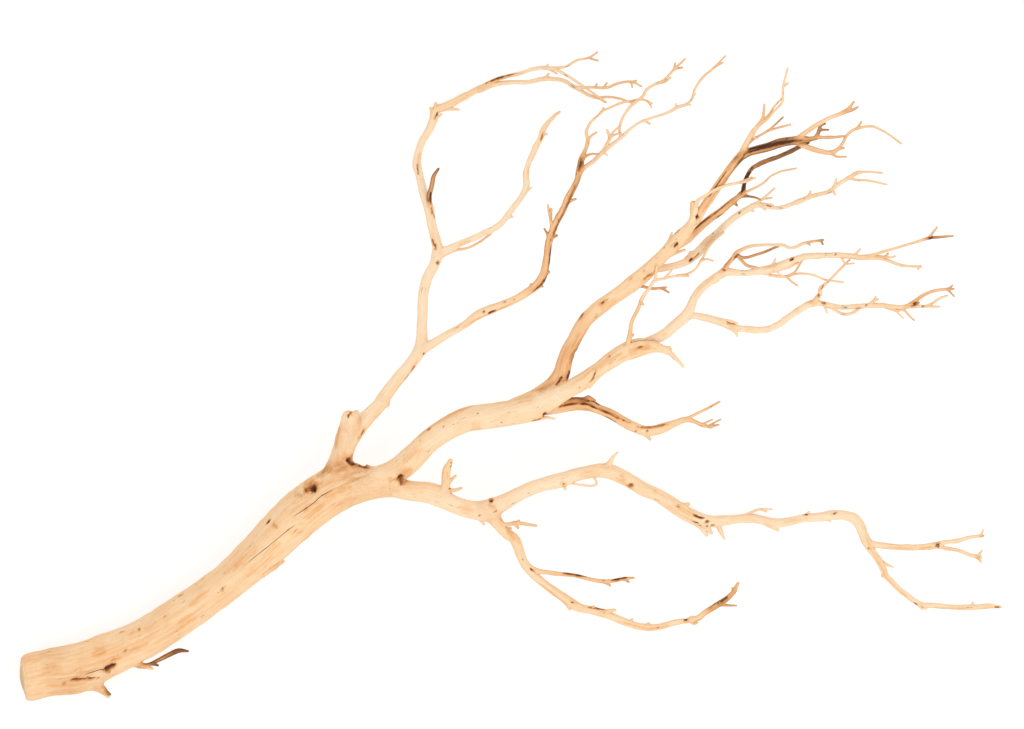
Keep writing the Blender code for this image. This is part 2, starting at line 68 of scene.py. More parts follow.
# All limbs but the trunk are a little thicker than their tables say, in millimetres.
GIRTH = 0.7

# The gap between a tube's rings is a length and a share of the diameter, within limits, in millimetres. The
# line is read this closely before the rings are placed on it.
READING_GAP = 0.25
RING_GAP, RING_GAP_SHARE = 0.95, 0.19
RING_GAP_LIMITS = (1.24, 2.0)
# A ring has the first number of sides where the radius is over the first limit, and so on.
RING_RADII = (13, 6.6, 2.85)
RING_SIDES = (80, 40, 20, 10)
# The rings of a round end, in degrees from the limb's last full ring.
ROUND_END = (70, 45, 20)

# The sawn end's edge is worn to this radius, in millimetres. Its top leans out by this share of its
# height, and its near side by this share of its width, over this many rings.
SAWN_EDGE = 7.0
SAWN_LEAN = 0.1
SAWN_TURN = 0.12
SAWN_LEAN_RINGS = 12
# The rings of its face, in shares of its radius, and of its worn edge, in degrees. The face stands out
# from the first full ring by this share of the edge's radius at its middle, and by this much less further
# out.
SAWN_FACE = (0.08, 0.2, 0.34, 0.48, 0.6)
SAWN_BEND = (90, 66, 44, 22)
SAWN_SWELL, SAWN_FALL = 1.3, 0.8
# End grain begins where the skin faces the cut by more than the first share, and is full after 1 / the
# second. It reaches this share of the radius along the trunk.
CUT_FACING, CUT_SHARPNESS, CUT_REACH = 0.72, 6, 0.35

# Where limbs meet: the fillet's width in shares of the thinner radius, its greatest width and how far off
# a limb is still felt, in millimetres, and how many times the skin is moved out.
FILLET_WIDTH = 0.9
WIDEST_FILLET = 6.5
FILLET_REACH = 14.0
FILLET_STEPS = 3
# The limbs' holds on a point add up to more than this where two or more share it.
SHARED = 1.001
# A join is evened in rounds of one step towards the neighbours' mean and a longer one back.
EVENING_STEPS = (0.5, -0.53)
EVENING_ROUNDS = 6
# Points are measured against a limb in batches of about this size.
BATCH = 4000

# Growth: two and three lobes round a limb, each with its height in shares of the radius and the length in
# millimetres over which it twists by one radian.
TWO_LOBES, TWO_TWIST = 0.045, 70
THREE_LOBES, THREE_TWIST = 0.03, 55
# The rest is noise: (height in shares of the radius, size across the grain, size along it, in millimetres).
FLUTES = (0.035, 6.5, 60)
CREASES = (0.045, 4.2, 42)
SWELLINGS = (0.028, 8.0, 10)
SMALL_SWELLINGS = (0.014, 3.6, 5)
TWIG_WOBBLE = (0.07, 2.5, 6)
# Creases sink where their noise is further from 0 than this. They and the flutes grow with the radius up to
# this one, in millimetres, and stand out this many times as far.
CREASE_LEVEL = 0.35
FLUTED_RADIUS = 9
FLUTE_HEIGHT = 1.6
# How far apart two limbs lie in the noise, so that no two are alike.
NOISE_APART = 17.3
LATTICE_FACTORS = (374761393, 668265263, 1274126177)
LATTICE_MIX = 1103515245

# Marks end where the skin turns this far down. Their edges waver over this length, in millimetres.
MARK_SIDE = 0.25
MARK_WAVER = 1.9
# A crack's groove is at least this wide. Where there is no crack, its line counts as this far away.
NARROWEST_CRACK = 1.6
NO_SEAM = 9.0

# The small knots on the sides and the underside: the seed, the thinnest limb that has them, the stretch
# of limb for each one (a length and a share of the limb's radius), and the least and the greatest size,
# in millimetres.
KNOT_SEED = 11
KNOTTY_RADIUS = 2.2
KNOT_STRETCH, KNOT_STRETCH_SHARE = 16, 2.2
KNOT_SIZES = (0.8, 1.8)

# Painted shade: how much browner the wood is made on its sides and underside than on its top, on the trunk
# and on the thinnest twigs.
FLANK_SHADE = (0.08, 0.22)
FLANK_SHADE_POWER = 1.6
# How much paler the thinnest twigs are all round than their limb's tone says, and the radius by which a limb
# stops counting as thin, in millimetres.
BLEACHED = 0.08
SLIM = 4.5
# How much browner a small twig is than its parent.
TWIG_TONE = 0.12

# The view, in metres.
CAMERA_HEIGHT = 24.0
VIEW_LEVEL = 0.05
VIEW_WIDTH = 0.9216
VIEW_MIDDLE = (0.0008, 0.0093)
SENSOR = 36.0
FLOOR_HALF = 30.0

# name, place, width and height in metres, power in watts, colour
LIGHTS = [
    ("key_light", (1.0, -1.4, 3.0), 2.5, 30, (1.0, 0.985, 0.96)),
    ("fill_light", (-1.6, 1.2, 3.4), 2.6, 9, (1.0, 0.99, 0.98)),
]
SKY = 0.88
FLOOR_GLOW = 0.62

# Linear colours.
WHITE = (1, 1, 1, 1)
FLOOR_GREY = (0.45, 0.45, 0.45, 1)
WOOD_COLOURS = [(0.0, (0.96, 0.765, 0.545)), (0.25, (0.925, 0.645, 0.385)), (0.45, (0.86, 0.51, 0.26)),
                (0.65, (0.66, 0.335, 0.125)), (0.82, (0.34, 0.15, 0.052)), (1.0, (0.12, 0.05, 0.022))]
RESIN = (0.93, 0.72, 0.50)
FINE_STREAK = (0.93, 0.86, 0.78)
SHADED = (0.62, 0.42, 0.28)
STAINED = (0.62, 0.42, 0.25)
BARK = (0.085, 0.034, 0.014)
CRACK = (0.03, 0.015, 0.008)
END_LIGHT = (0.74, 0.54, 0.34)
END_DARK = (0.58, 0.38, 0.21)

# The wood's noises: (stretch across the grain twice and along it, periods to a metre, detail, roughness,
# distortion).
WOOD_NOISES = {
    "broad": ((1, 1, 0.16), 60, 3, 0.55, 0.3), "streaks": ((1, 1, 0.05), 420, 4, 0.6, 0.2),
    "fine": ((1, 1, 0.07), 1300, 3, 0.6, 0.0), "specks": ((1, 1, 0.2), 300, 3, 0.75, 0.0),
    "cloud": ((1, 1, 1), 38, 3, 0.6, 0.0), "grit": ((1, 1, 1), 1500, 2, 0.6, 0.0),
}
# How strongly the brown marks, the broad bands, the clouds and the streaks age the wood. The streaks are
# stronger on brown wood, by the last share.
BROWN_AGE, BROAD_AGE, CLOUD_AGE, STREAK_AGE, STREAK_AGE_SHARE = 0.75, 0.42, 0.34, 0.26, 0.9
# The age rings of the sawn end: their noise's scale and detail, and how oval they are.
AGE_RINGS, AGE_RING_DETAIL, AGE_RING_OVAL = 900.0, 2.0, 1.08
WOOD_GLOSS = 0.28
WOOD_ROUGHNESS = (0.62, 0.86)
# The bump's strength and its height in metres, then each layer's share of that height.
BUMP, BUMP_HEIGHT = 0.55, 0.0009
STREAK_BUMP, FINE_BUMP, BROAD_BUMP, GRIT_BUMP, SUNK_BUMP = 0.6, 0.35, 0.9, 0.2, 0.8

# How brown the wood is at places (x, y) along a limb, from 0 for cream to 1 for dark bark: (x, y, brownness).
TONES = {
    "trunk": [(-438, -270, 0.29), (-250, -180, 0.24), (-150, -99, 0.27), (-115, -99, 0.22)],
    "broken_leader": [(-150, -76, 0.2), (-144, -34, 0.12)],
    "left_limb": [
        (-150, -76, 0.16), (-130, -38, 0.08), (-100, -1, 0.08), (-80, 60, 0.06), (-70, 137, 0.1),
        (-82, 180, 0.05), (-80, 210, 0.05), (-67, 238, 0.2), (-22, 260, 0.2)],
    "hook_twig": [(-28, 257, 0.15), (42, 266, 0.12), (117, 260, 0.4)],
    "hook_twig_upper": [(-27, 258, 0.45), (5, 271, 0.45), (15, 274, 0.14), (86, 246, 0.3)],
    "hook_twig_high": [(30, 277, 0.2), (78, 291, 0.4)],
    "hook_twig_low": [(54, 261, 0.2), (109, 246, 0.4)],
    "dark_spur": [(-72, 146, 0.4), (-73, 160, 0.75), (-65, 186, 0.8)],
    "side_limb": [(-67, 109, 0.02), (-15, 131, 0.02), (15, 185, 0.04), (30, 222, 0.12), (44, 238, 0.4)],
    "side_twig": [(-62, 108, 0.15), (-18, 127, 0.4)],
    "brown_limb": [
        (-82, 22, 0.06), (-20, 59, 0.2), (12, 73, 0.32), (20, 78, 0.5), (60, 180, 0.55), (66, 200, 0.5),
        (70, 225, 0.35), (127, 245, 0.4)],
    "fork_twig": [(37, 133, 0.42)],
    "spray_twig_right": [(61, 181, 0.3), (80, 199, 0.16), (120, 230, 0.14), (193, 287, 0.4)],
    "spray_twig_middle": [(99, 214, 0.25), (157, 285, 0.4)],
    "spray_twig_left": [(84, 202, 0.3)],
    "middle_limb": [
        (-125, -93, 0.22), (-60, -49, 0.13), (20, -28, 0.14), (100, 20, 0.14), (136, 24, 0.2),
        (156, 8, 0.2)],
    "far_limb": [(112, 24, 0.08), (160, 60, 0.06), (245, 101, 0.08), (324, 107, 0.16), (369, 98, 0.3)],
    "far_twig": [(320, 107, 0.25), (370, 122, 0.3), (378, 124, 0.85), (398, 126, 0.6)],
    "far_twig_upper": [(376, 124, 0.5)],
    "brown_twig": [
        (190, 91, 0.45), (203, 110, 0.5), (222, 117, 0.25), (250, 117, 0.2), (266, 119, 0.4),
        (281, 122, 0.75)],
    "brown_twig_lower": [(203, 109, 0.72)],
    "thin_twig": [(228, 92, 0.3), (299, 84, 0.25)],
    "near_limb": [(155, 50, 0.06), (262, 60, 0.04), (335, 63, 0.08), (386, 62, 0.12)],
    "near_twig": [(355, 62, 0.5), (368, 70, 0.45), (388, 77, 0.4), (399, 78, 0.6)],
    "near_twig_lower": [(374, 62, 0.25)],
    "knob_twig": [(273, 65, 0.3), (304, 104, 0.3)],
    "lower_hook": [
        (34, -30, 0.4), (62, -25, 0.5), (100, -41, 0.45), (120, -50, 0.25), (150, -42, 0.3),
        (181, -46, 0.5)],
    "lower_hook_twig": [(155, -40, 0.35), (188, -23, 0.55)],
    "rising_limb": [
        (28, -19, 0.34), (46, 2, 0.44), (60, 40, 0.38), (82, 64, 0.27), (101, 76, 0.24), (146, 118, 0.2),
        (168, 142, 0.24), (180, 160, 0.4), (200, 190, 0.5), (207, 198, 0.76), (240, 209, 0.82),
        (262, 212, 0.8), (275, 213, 0.5), (300, 215, 0.65)],
    "tip_upper": [(257, 212, 0.3), (290, 233, 0.25), (302, 238, 0.5)],
    "tip_lower": [(256, 211, 0.35), (300, 212, 0.4), (352, 209, 0.3)],
    "tip_middle": [(274, 213, 0.72)],
    "high_twig": [(208, 200, 0.24), (219, 221, 0.24), (250, 277, 0.3)],
    "high_twig_left": [(222, 225, 0.35)],
    "high_twig_right": [(210, 205, 0.4), (232, 221, 0.5), (245, 232, 0.75)],
    "high_twig_side": [(231, 220, 0.4)],
    "dark_limb": [
        (148, 119, 0.45), (165, 129, 0.55), (198, 155, 0.6), (209, 166, 0.76), (225, 190, 0.8),
        (250, 200, 0.84), (267, 210, 0.9)],
    "dark_limb_twig": [(203, 159, 0.3), (257, 186, 0.2)],
    "pale_limb": [(116, 88, 0.1), (186, 130, 0.02), (234, 151, 0.1), (297, 173, 0.1), (334, 183, 0.4)],
    "pale_twig": [(304, 178, 0.3)],
    "pale_twig_upper": [(218, 153, 0.3)],
    "crossing_twig": [(164, 144, 0.14), (172, 161, 0.2), (217, 178, 0.25)],
    "long_twig": [(105, 30, 0.35), (114, 60, 0.4), (130, 85, 0.12), (191, 129, 0.45)],
    "bark_twig": [(112, 81, 0.6)],
    "right_limb": [
        (-150, -99, 0.25), (-100, -102, 0.16), (-50, -116, 0.08), (50, -92, 0.06), (150, -119, 0.12),
        (182, -131, 0.08), (250, -131, 0.06), (321, -150, 0.08), (371, -207, 0.1), (441, -208, 0.25)],
    "right_fork": [(319, -148, 0.08), (372, -154, 0.1), (427, -144, 0.2)],
    "right_fork_lower": [(382, -152, 0.2), (423, -164, 0.2)],
    "low_limb": [
        (-22, -121, 0.24), (10, -165, 0.22), (50, -201, 0.22), (148, -222, 0.2), (170, -218, 0.25),
        (182, -209, 0.55), (205, -186, 0.62)],
    "low_limb_twig": [
        (14, -171, 0.25), (40, -178, 0.42), (60, -180, 0.5), (80, -185, 0.4), (110, -182, 0.6)],
    "crotch_twig": [(-15, -127, 0.45), (23, -135, 0.4)],
    "right_twig": [(209, -126, 0.25)],
    "spur": [(86, -84, 0.08), (96, -69, 0.12)],
    "splinter": [(165, -127, 0.12)],
    "upright_stub": [(-58, -108, 0.2), (-54, -77, 0.22)],
}

# name: (the limb that it grows from, its stations from base to tip)
LIMBS = {
    "trunk": (None, [
        (-432.8, -270.6, 21.5, 40), (-428, -269.4, 21.2, 40.3), (-415, -267, 21, 40.2),
        (-400, -264.2, 21, 41.1), (-380, -258.7, 21.5, 40.7), (-358.5, -249.7, 21.5, 37.7),
        (-340.5, -242.2, 22.5, 36.2), (-318, -230.8, 24.5, 35.8), (-300, -218.5, 27.5, 35.7),
        (-279.8, -204.8, 31, 35.1), (-249.3, -181.4, 36.5, 35.9), (-229.3, -163.2, 40.5, 37.7),
        (-210, -143.8, 44.5, 40.6), (-190.8, -125.2, 48, 43), (-170.6, -109.6, 51.5, 42.2),
        (-150.5, -98.5, 54, 40), (-130, -96.4, 55, 26.5), (-115, -97.5, 55, 20)]),
    "broken_leader": ("trunk", [
        (-155, -82, 54, 15), (-152, -70, 58, 12.5), (-149.7, -56, 63, 13.5), (-147, -47, 68, 14),
        (-145, -38.6, 73, 13.8)]),
    "left_limb": ("trunk", [
        (-153, -95, 54, 26), (-152.6, -76, 57, 18.8), (-146.9, -61.2, 60, 15.8), (-139.4, -48.3, 61, 15.8),
        (-129.7, -38.3, 60, 12.8), (-119.7, -28.3, 58, 11.3), (-110, -14, 55, 11), (-100, -1, 52, 10.5),
        (-90, 11, 48, 10.5), (-83, 22, 45, 10.5), (-80.5, 32, 43, 10.4), (-80, 45, 40, 9.6),
        (-79.2, 60, 37, 9.1), (-78.6, 75, 34, 9.1), (-75.3, 88, 31, 9.2), (-69, 100, 29, 9),
        (-65.8, 111, 27, 9), (-68.3, 125, 24, 8), (-71.4, 137, 22, 7.6), (-73, 147, 20, 7.6),
        (-75.3, 155, 18, 7.3), (-78.5, 165, 16, 7), (-82, 180, 12, 6.3), (-84.5, 190, 9.5, 7),
        (-83.2, 200, 7.5, 5.6), (-80, 210, 6, 5.6), (-74.2, 219.7, 4.6, 5.8), (-69.5, 230, 3.5, 6.3),
        (-67.5, 238.5, 3.25, 6.5), (-60, 241.5, 4, 6.3), (-50.2, 246.4, 6, 5.4), (-40.3, 251.6, 9, 4.9),
        (-30.2, 257.1, 12, 4.7), (-22, 260.5, 14.5, 4.6)]),
    "hook_twig": ("left_limb", [
        (-28, 257.5, 12.5, 4), (-15, 262, 15, 3.8), (0, 264, 18, 3.2), (15, 264.2, 20, 3.2),
        (30, 267.1, 23, 3.5), (42, 266.6, 26, 3.3), (50, 264.5, 28, 3.3), (56, 260.5, 30, 3),
        (63, 259, 32, 2.8), (70, 259.5, 34, 2.2), (88, 259.5, 39, 2), (96, 262.8, 41, 2),
        (110.5, 264, 45, 1.6), (117.5, 260.3, 47, 1.2)]),
    "hook_twig_upper": ("left_limb", [
        (-27, 258, 13, 4), (-15, 265.5, 18, 3.2), (-3, 269.5, 22, 3), (10, 272.5, 27, 2.8),
        (20, 276, 31, 3), (33, 277, 36, 2.8), (40, 275.5, 39, 2.2), (50, 270.5, 43, 2.2),
        (60, 264, 46, 1.8), (86, 246, 51, 1.2)]),
    "hook_twig_high": ("hook_twig_upper", [
        (30, 276.8, 35, 2.4), (40, 277, 38, 2), (49, 278, 41, 1.8), (60, 284, 46, 1.5), (70, 286, 50, 1.3),
        (78, 291, 54, 1)]),
    "hook_twig_low": ("hook_twig", [
        (54, 261.5, 29, 2.4), (62, 257, 30, 2.4), (78, 250, 32, 2), (87, 250.8, 34, 1.6),
        (95, 250, 36, 1.4), (108.8, 245.7, 40, 1.1)]),
    "dark_spur": ("left_limb", [
        (-71.5, 146, 20, 4), (-73, 163, 24, 3.6), (-71, 170, 27, 3.6), (-69, 180, 30, 3),
        (-65, 186, 32, 1.6)]),
    "side_limb": ("left_limb", [
        (-67, 109, 27, 7), (-55.3, 114.1, 29, 6.5), (-45.3, 119, 31, 5.2), (-32.4, 124.1, 34, 5),
        (-24.5, 128.1, 36, 5), (-15.5, 132.1, 38, 5), (-8.6, 137.1, 40, 5), (-2.7, 144.6, 42, 5),
        (9.3, 160.5, 46, 4.6), (13.4, 167.3, 48, 5), (14.4, 185, 52, 4.3), (21.5, 203.2, 56, 4.4),
        (26.6, 213.2, 58, 4.6), (29.8, 222.2, 60, 4.3), (34.4, 228.7, 61, 3.2), (44, 237.4, 62, 1.2)]),
    "side_twig": ("left_limb", [
        (-62, 108, 26, 3.5), (-50, 113, 24.5, 2.4), (-40, 114.5, 24, 1.8), (-30, 119, 25, 1.6),
        (-18, 127.5, 28, 1.3)]),
    "brown_limb": ("left_limb", [
        (-82, 22, 45, 8), (-70, 29, 46, 7.5), (-60, 35.2, 48, 6.5), (-40, 47, 53, 6.2),
        (-30, 54.5, 56, 7.4), (-20, 58.8, 59, 7.6), (-10, 62.6, 62, 6.5), (0, 66.8, 65, 6),
        (10, 71.6, 67, 5.8), (18, 77, 69, 6.2), (24, 82, 71, 6.8), (29, 90, 74, 6), (31.5, 100, 77, 5.6),
        (33, 110, 80, 5.4), (34.5, 120, 83, 5.6), (37.5, 130, 86, 5.6), (42.5, 141, 89, 5.2),
        (47.5, 150, 91, 5.3), (51, 159, 93, 5.3), (56.5, 169, 95, 4.8), (60.5, 178, 97, 4.4),
        (62.2, 187, 99, 5.6), (63.8, 195, 101, 4.6), (67, 203, 103, 2.8), (69.5, 211, 105, 2.6),
        (68, 219, 107, 2.2), (70, 225, 109, 1.9), (75, 231, 111, 1.7), (82, 237.5, 113, 1.6),
        (91, 242, 114, 1.6), (101, 246, 115, 1.5), (110, 247.5, 116, 1.4), (118, 248.5, 117, 1.3),
        (127, 245, 118, 1.2)]),
    "fork_twig": ("brown_limb", [
        (37, 133, 87, 2.4), (36, 141, 89, 2), (34.5, 148, 91, 1.8), (33.5, 153.5, 92, 1.3)]),
    "spray_twig_right": ("brown_limb", [
        (61, 181, 97.5, 3.2), (67, 187.5, 98, 3.2), (75, 193.5, 99, 3.4), (83, 201.5, 100, 3.6),
        (90, 207, 101, 3), (96, 211.5, 102, 2.8), (102, 216.5, 103, 3), (109, 223, 105, 2),
        (117, 228.3, 107, 1.9), (126, 231.5, 109, 2), (143, 237.5, 114, 2.2), (151, 241.8, 117, 2.6),
        (158, 244, 120, 1.8), (163, 249, 123, 1.6), (165.5, 257, 127, 1.5), (175.5, 271, 135, 1.4),
        (180, 274.5, 138, 1.3), (193, 287.5, 146, 1)]),
    "spray_twig_middle": ("spray_twig_right", [
        (99, 214.5, 102.5, 2.2), (98, 221, 106, 1.8), (99.5, 229, 110, 1.7), (103, 236, 114, 1.7),
        (108, 242.5, 119, 2), (114, 247.5, 123, 2), (119, 251.5, 126, 2), (122, 257, 129, 1.8),
        (129, 261.8, 132, 1.8), (136, 265, 135, 1.6), (148, 276.5, 143, 1.4), (157, 285, 149, 1)]),
    "spray_twig_left": ("spray_twig_right", [
        (84, 202.5, 100, 2.6), (86.5, 208, 102, 2.4), (89, 213.5, 105, 2.2), (86.8, 221, 109, 1.4)]),
    "middle_limb": ("trunk", [
        (-155, -101, 54, 28), (-125, -95, 60, 22.4), (-103.5, -86.8, 64, 21), (-88, -74, 67, 21.5),
        (-73.5, -59.5, 70, 20), (-60, -50, 73, 21), (-40, -40, 77, 22.7), (-20, -36.7, 80, 23.4),
        (0, -33.7, 83, 23.3), (20, -28, 86, 24), (35, -21, 89, 18), (50, -13, 92, 14.5),
        (59.6, -7.6, 94, 14.5), (69.3, -1.6, 96, 13.8), (79.4, 6.2, 98, 12.2), (89.8, 13.6, 99.5, 13.8),
        (100, 20.2, 101, 14.8), (110, 24.2, 102, 15.6), (120, 26.2, 102.5, 14.6), (128, 25.8, 103, 10),
        (136, 24.2, 103.5, 6.6), (142.6, 20.8, 103, 4.6), (148.4, 15.7, 102, 3), (155.5, 8, 100, 1.4)]),
    "far_limb": ("middle_limb", [
        (112, 24, 96, 8), (122.3, 29.6, 95, 8.1), (138.3, 37.6, 95, 8.6), (150, 47.5, 95.5, 8.8),
        (156.5, 53, 96, 9), (161, 60, 96.5, 8), (165, 70, 97.5, 6.8), (173, 80, 99, 6.8),
        (180, 85.5, 100, 7), (187, 90, 101, 7.2), (194, 93.5, 102, 7), (203, 92.8, 103.5, 5.2),
        (212, 92.5, 105, 5), (221, 94, 106, 6), (230, 95.4, 107, 7.2), (238, 97.4, 108.5, 7.2),
        (245, 100.2, 110, 6.8), (253, 103.6, 111.5, 5.8), (262, 106.5, 113, 4.9), (275, 107.9, 114, 4.5),
        (290, 108.4, 115, 4.4), (303, 107.9, 115, 4.4), (315, 106.4, 114, 4.4), (324, 106.4, 113, 4),
        (331, 106, 112, 3.4), (338, 104, 111, 2.4), (352, 99.2, 109, 1.9), (368.5, 98.2, 107, 1.5)]),
    "far_twig": ("far_limb", [
        (320, 106.8, 113.5, 2.8), (330, 109.9, 115, 2.1), (342, 113.5, 118, 1.8), (366, 120.6, 124, 1.8),
        (377, 124, 127, 2), (386, 124.7, 129, 1.6), (398, 125.8, 131, 1.1)]),
    "far_twig_upper": ("far_twig", [
        (376, 123.6, 127, 1.8), (380, 128.8, 129, 1.4), (383.6, 133.5, 131, 1)]),
    "brown_twig": ("far_limb", [
        (190, 91, 101, 4.5), (193.6, 98.2, 104, 3.6), (199.6, 105.2, 108, 3.4), (202.8, 110, 111, 3.4),
        (208, 113.4, 114, 2.6), (215, 116.3, 117, 2.2), (226, 117.5, 121, 2), (238, 117.6, 125, 2),
        (246, 117.2, 128, 2.2), (250.5, 115, 130, 1.8), (256.5, 115.7, 132, 2), (262, 118.4, 134, 2),
        (281, 122, 140, 1.3)]),
    "brown_twig_lower": ("brown_twig", [
        (203, 109, 110.5, 2.2), (208, 106.5, 112, 2), (222, 109.2, 116, 1.6), (241, 116.5, 122, 1.3)]),
    "thin_twig": ("far_limb", [
        (228, 92.5, 105, 2.4), (237, 89.8, 102, 2), (248, 89.3, 100, 1.8), (257, 91.5, 98, 1.6),
        (273, 90.3, 94, 1.4), (281, 87, 92.5, 1.3), (299, 84, 91, 1)]),
    "near_limb": ("far_limb", [
        (159, 53, 95, 4.4), (165, 54, 94.5, 4.8), (172, 53, 93.5, 5.4), (188, 48.7, 91.5, 6.2),
        (196, 46, 90.5, 6.8), (203, 43, 89.5, 5.4), (214, 42, 88.5, 4.8), (225, 41, 87, 5.2),
        (233, 42.3, 86, 5.2), (240, 45.5, 85, 5.2), (254, 55.5, 84, 5.3), (262, 60.5, 84, 5.6),
        (269, 64.3, 84.5, 5.8), (275, 65.3, 85, 5.4), (285, 63.7, 86, 4.4), (297, 61.6, 87.5, 3.9),
        (310, 62.3, 89, 4), (335, 63, 91, 3.9), (348, 61.8, 92, 3.2), (360, 62.2, 93.5, 3),
        (370, 62.3, 95, 2.2), (386, 62, 97, 1.2)]),
    "near_twig": ("near_limb", [
        (355, 62, 93, 2.4), (362.3, 65.8, 95, 3), (368.5, 70.6, 97.5, 2.6), (377.5, 75.2, 101, 2.2),
        (387.3, 77.3, 105, 2), (398.5, 78, 109, 1.2)]),
    "near_twig_lower": ("near_limb", [
        (374, 62.4, 95.5, 1.7), (380, 65.5, 97, 1.6), (386, 69.5, 99, 1.4), (393, 72, 101, 1.1)]),
    "knob_twig": ("near_limb", [
        (272.5, 65, 85, 4.4), (275.8, 70, 89, 3.6), (278.5, 74, 92, 3.2), (279, 79, 94, 2.6),
        (283.2, 82.4, 96, 2), (296.8, 95.9, 103, 1.5), (304.9, 104, 108, 1.2)]),
    "lower_hook": ("middle_limb", [
        (22, -30, 84, 9), (34, -30.5, 80, 9), (44, -28, 77, 11), (53, -26, 75, 11.5),
        (62, -25.4, 73.5, 11.2), (70, -26.4, 72, 10.8), (76, -29.1, 71, 9.2), (84.5, -32.5, 69.5, 8.6),
        (92.5, -36.1, 68, 8.7), (100.5, -41, 67, 8.7), (110.3, -46, 66, 8.4), (120, -49.6, 65.5, 9),
        (130, -49.3, 66, 8.6), (140, -46, 67, 7.8), (150, -42, 68, 5.6), (158, -39.5, 69, 4.4),
        (166, -41.5, 70, 3), (173, -44.5, 71, 2.4), (181, -46.5, 72, 1.6)]),
    "lower_hook_twig": ("lower_hook", [
        (155, -40.3, 68.7, 2.6), (165, -35.5, 71, 1.8), (181, -27.5, 76, 1.5), (188, -23.5, 78, 1.1)]),
    "rising_limb": ("middle_limb", [
        (8, -28, 79, 15), (28, -19, 77, 19), (40, -9, 78.5, 18), (45.5, 2, 82, 14), (48, 12, 87, 12.8),
        (51.5, 22, 93, 12.2), (56.3, 31, 98, 11.5), (61.2, 40.2, 103, 11.5), (67.5, 50.1, 108, 11.5),
        (74.9, 57.1, 113, 11.8), (83, 63.6, 117, 11.8), (92, 70, 121, 11), (101, 76.5, 125, 11.6),
        (110.3, 83.6, 129, 12.9), (119.5, 90.9, 133, 12.6), (128.5, 99.5, 137.5, 11),
        (137.5, 108.5, 142, 10.5), (146.5, 117.5, 147, 12), (154, 126, 151.5, 11), (161.5, 134.5, 156, 9),
        (168, 142.6, 160, 8), (173.6, 151.3, 164, 7.4), (186.9, 171, 173.5, 7.3), (200.5, 189.8, 182, 7),
        (207.4, 197, 185.5, 7), (214, 200.9, 187.5, 7.2), (222, 203.2, 188.5, 7.4),
        (231, 205.5, 189.5, 7.8), (240.5, 209, 190.5, 8), (250.5, 210.9, 191, 7.8), (259.5, 212, 191, 7),
        (268.5, 212.6, 190.5, 4.8), (277, 214.2, 190, 3), (287, 214.3, 189.5, 2.2), (300, 215.5, 189, 1.4)]),
    "tip_upper": ("rising_limb", [
        (257, 212.5, 191, 3.6), (263, 217, 192, 3.6), (277, 226.5, 195, 3.4), (286, 231.5, 197, 3),
        (296, 235.3, 199, 3.2), (302, 238.3, 200, 3), (309, 246.5, 202, 1.4)]),
    "tip_lower": ("rising_limb", [
        (256, 210.6, 190, 4), (263, 207.4, 188, 4.2), (271, 204.2, 186.5, 4.4), (280, 201.7, 185, 3.8),
        (289, 200.7, 184, 3.4), (294.9, 204.3, 184.5, 2.6), (298.9, 209.4, 185, 2),
        (302.3, 215.9, 186, 1.8), (308, 220.9, 187, 2), (316, 223.4, 188.5, 1.8), (325, 224.4, 189.5, 1.5),
        (334, 220.8, 190.5, 1.3), (351.5, 208.8, 192, 1.1)]),
    "tip_middle": ("rising_limb", [
        (274, 213.8, 190, 2.4), (277, 219, 189, 2.6), (279, 226.5, 189.5, 1.6)]),
    "high_twig": ("rising_limb", [
        (208, 200, 186, 5), (211.4, 207.5, 190, 4.4), (215.2, 214.3, 193.5, 4), (219.6, 221.2, 197, 3.4),
        (224.3, 226.3, 200, 2.6), (230, 230, 203, 1.6), (236.6, 237.5, 207, 1.5), (244.9, 247.5, 212, 1.4),
        (244.9, 256, 215, 1.4), (249.2, 276.5, 219.5, 1)]),
    "high_twig_left": ("high_twig", [
        (222, 225, 199, 2.2), (226.5, 231.5, 202, 2.2), (228.2, 244, 206, 1.3)]),
    "high_twig_right": ("high_twig", [
        (210, 205, 188.5, 2.6), (217, 211.5, 189.5, 1.8), (232, 220.8, 193, 1.5), (245, 232.5, 197, 1.1)]),
    "high_twig_side": ("high_twig_right", [
        (231, 220.2, 192.8, 1.5), (243, 223.7, 195, 1.4), (252, 226, 197, 1.1)]),
    "dark_limb": ("rising_limb", [
        (148, 119, 147, 8), (157.5, 122, 146, 8), (164.9, 128.6, 146, 7.2), (172.6, 135.3, 146.5, 6.2),
        (180.5, 141.7, 147.5, 5.8), (189.8, 148.5, 149, 5.6), (198, 155.5, 151, 5), (205, 161, 153, 4.2),
        (209.3, 166, 155, 3.2), (210.2, 172.4, 157, 3), (213, 180.2, 160, 3.1), (217.4, 186.5, 163, 3.2),
        (223.6, 190.4, 166, 3.2), (240.4, 196.8, 172, 3.2), (249.4, 200.7, 175, 3.2),
        (258.4, 205.3, 178, 3.1), (267.5, 210, 180, 2.6)]),
    "dark_limb_twig": ("dark_limb", [
        (203, 159.5, 152.5, 2.4), (212, 165, 155, 1.9), (228.5, 174, 160, 1.5), (233, 178.5, 162, 1.4),
        (241, 182.8, 165, 1.3), (257, 186.5, 170, 1.1)]),
    "pale_limb": ("rising_limb", [
        (116, 87.5, 132, 6), (124, 92.5, 131, 6.4), (133, 96.5, 130, 5.8), (143, 98, 129, 5.4),
        (152.5, 100.5, 128, 5.6), (160, 104, 127, 6.5), (166.5, 109.4, 126, 7.5), (179.4, 122.2, 124, 7.3),
        (187.3, 129.5, 123, 6.3), (195.7, 138, 122, 5.5), (205.7, 145.3, 121, 5.4), (213.5, 150, 120, 5.2),
        (220, 153.3, 120, 4.6), (227, 153.3, 120, 3.6), (234, 151.3, 120, 3), (243, 151.2, 121, 3),
        (252, 153.8, 122, 3), (261, 157.2, 123.5, 3.1), (268, 160.3, 125, 3.5), (276, 162.8, 126.5, 3),
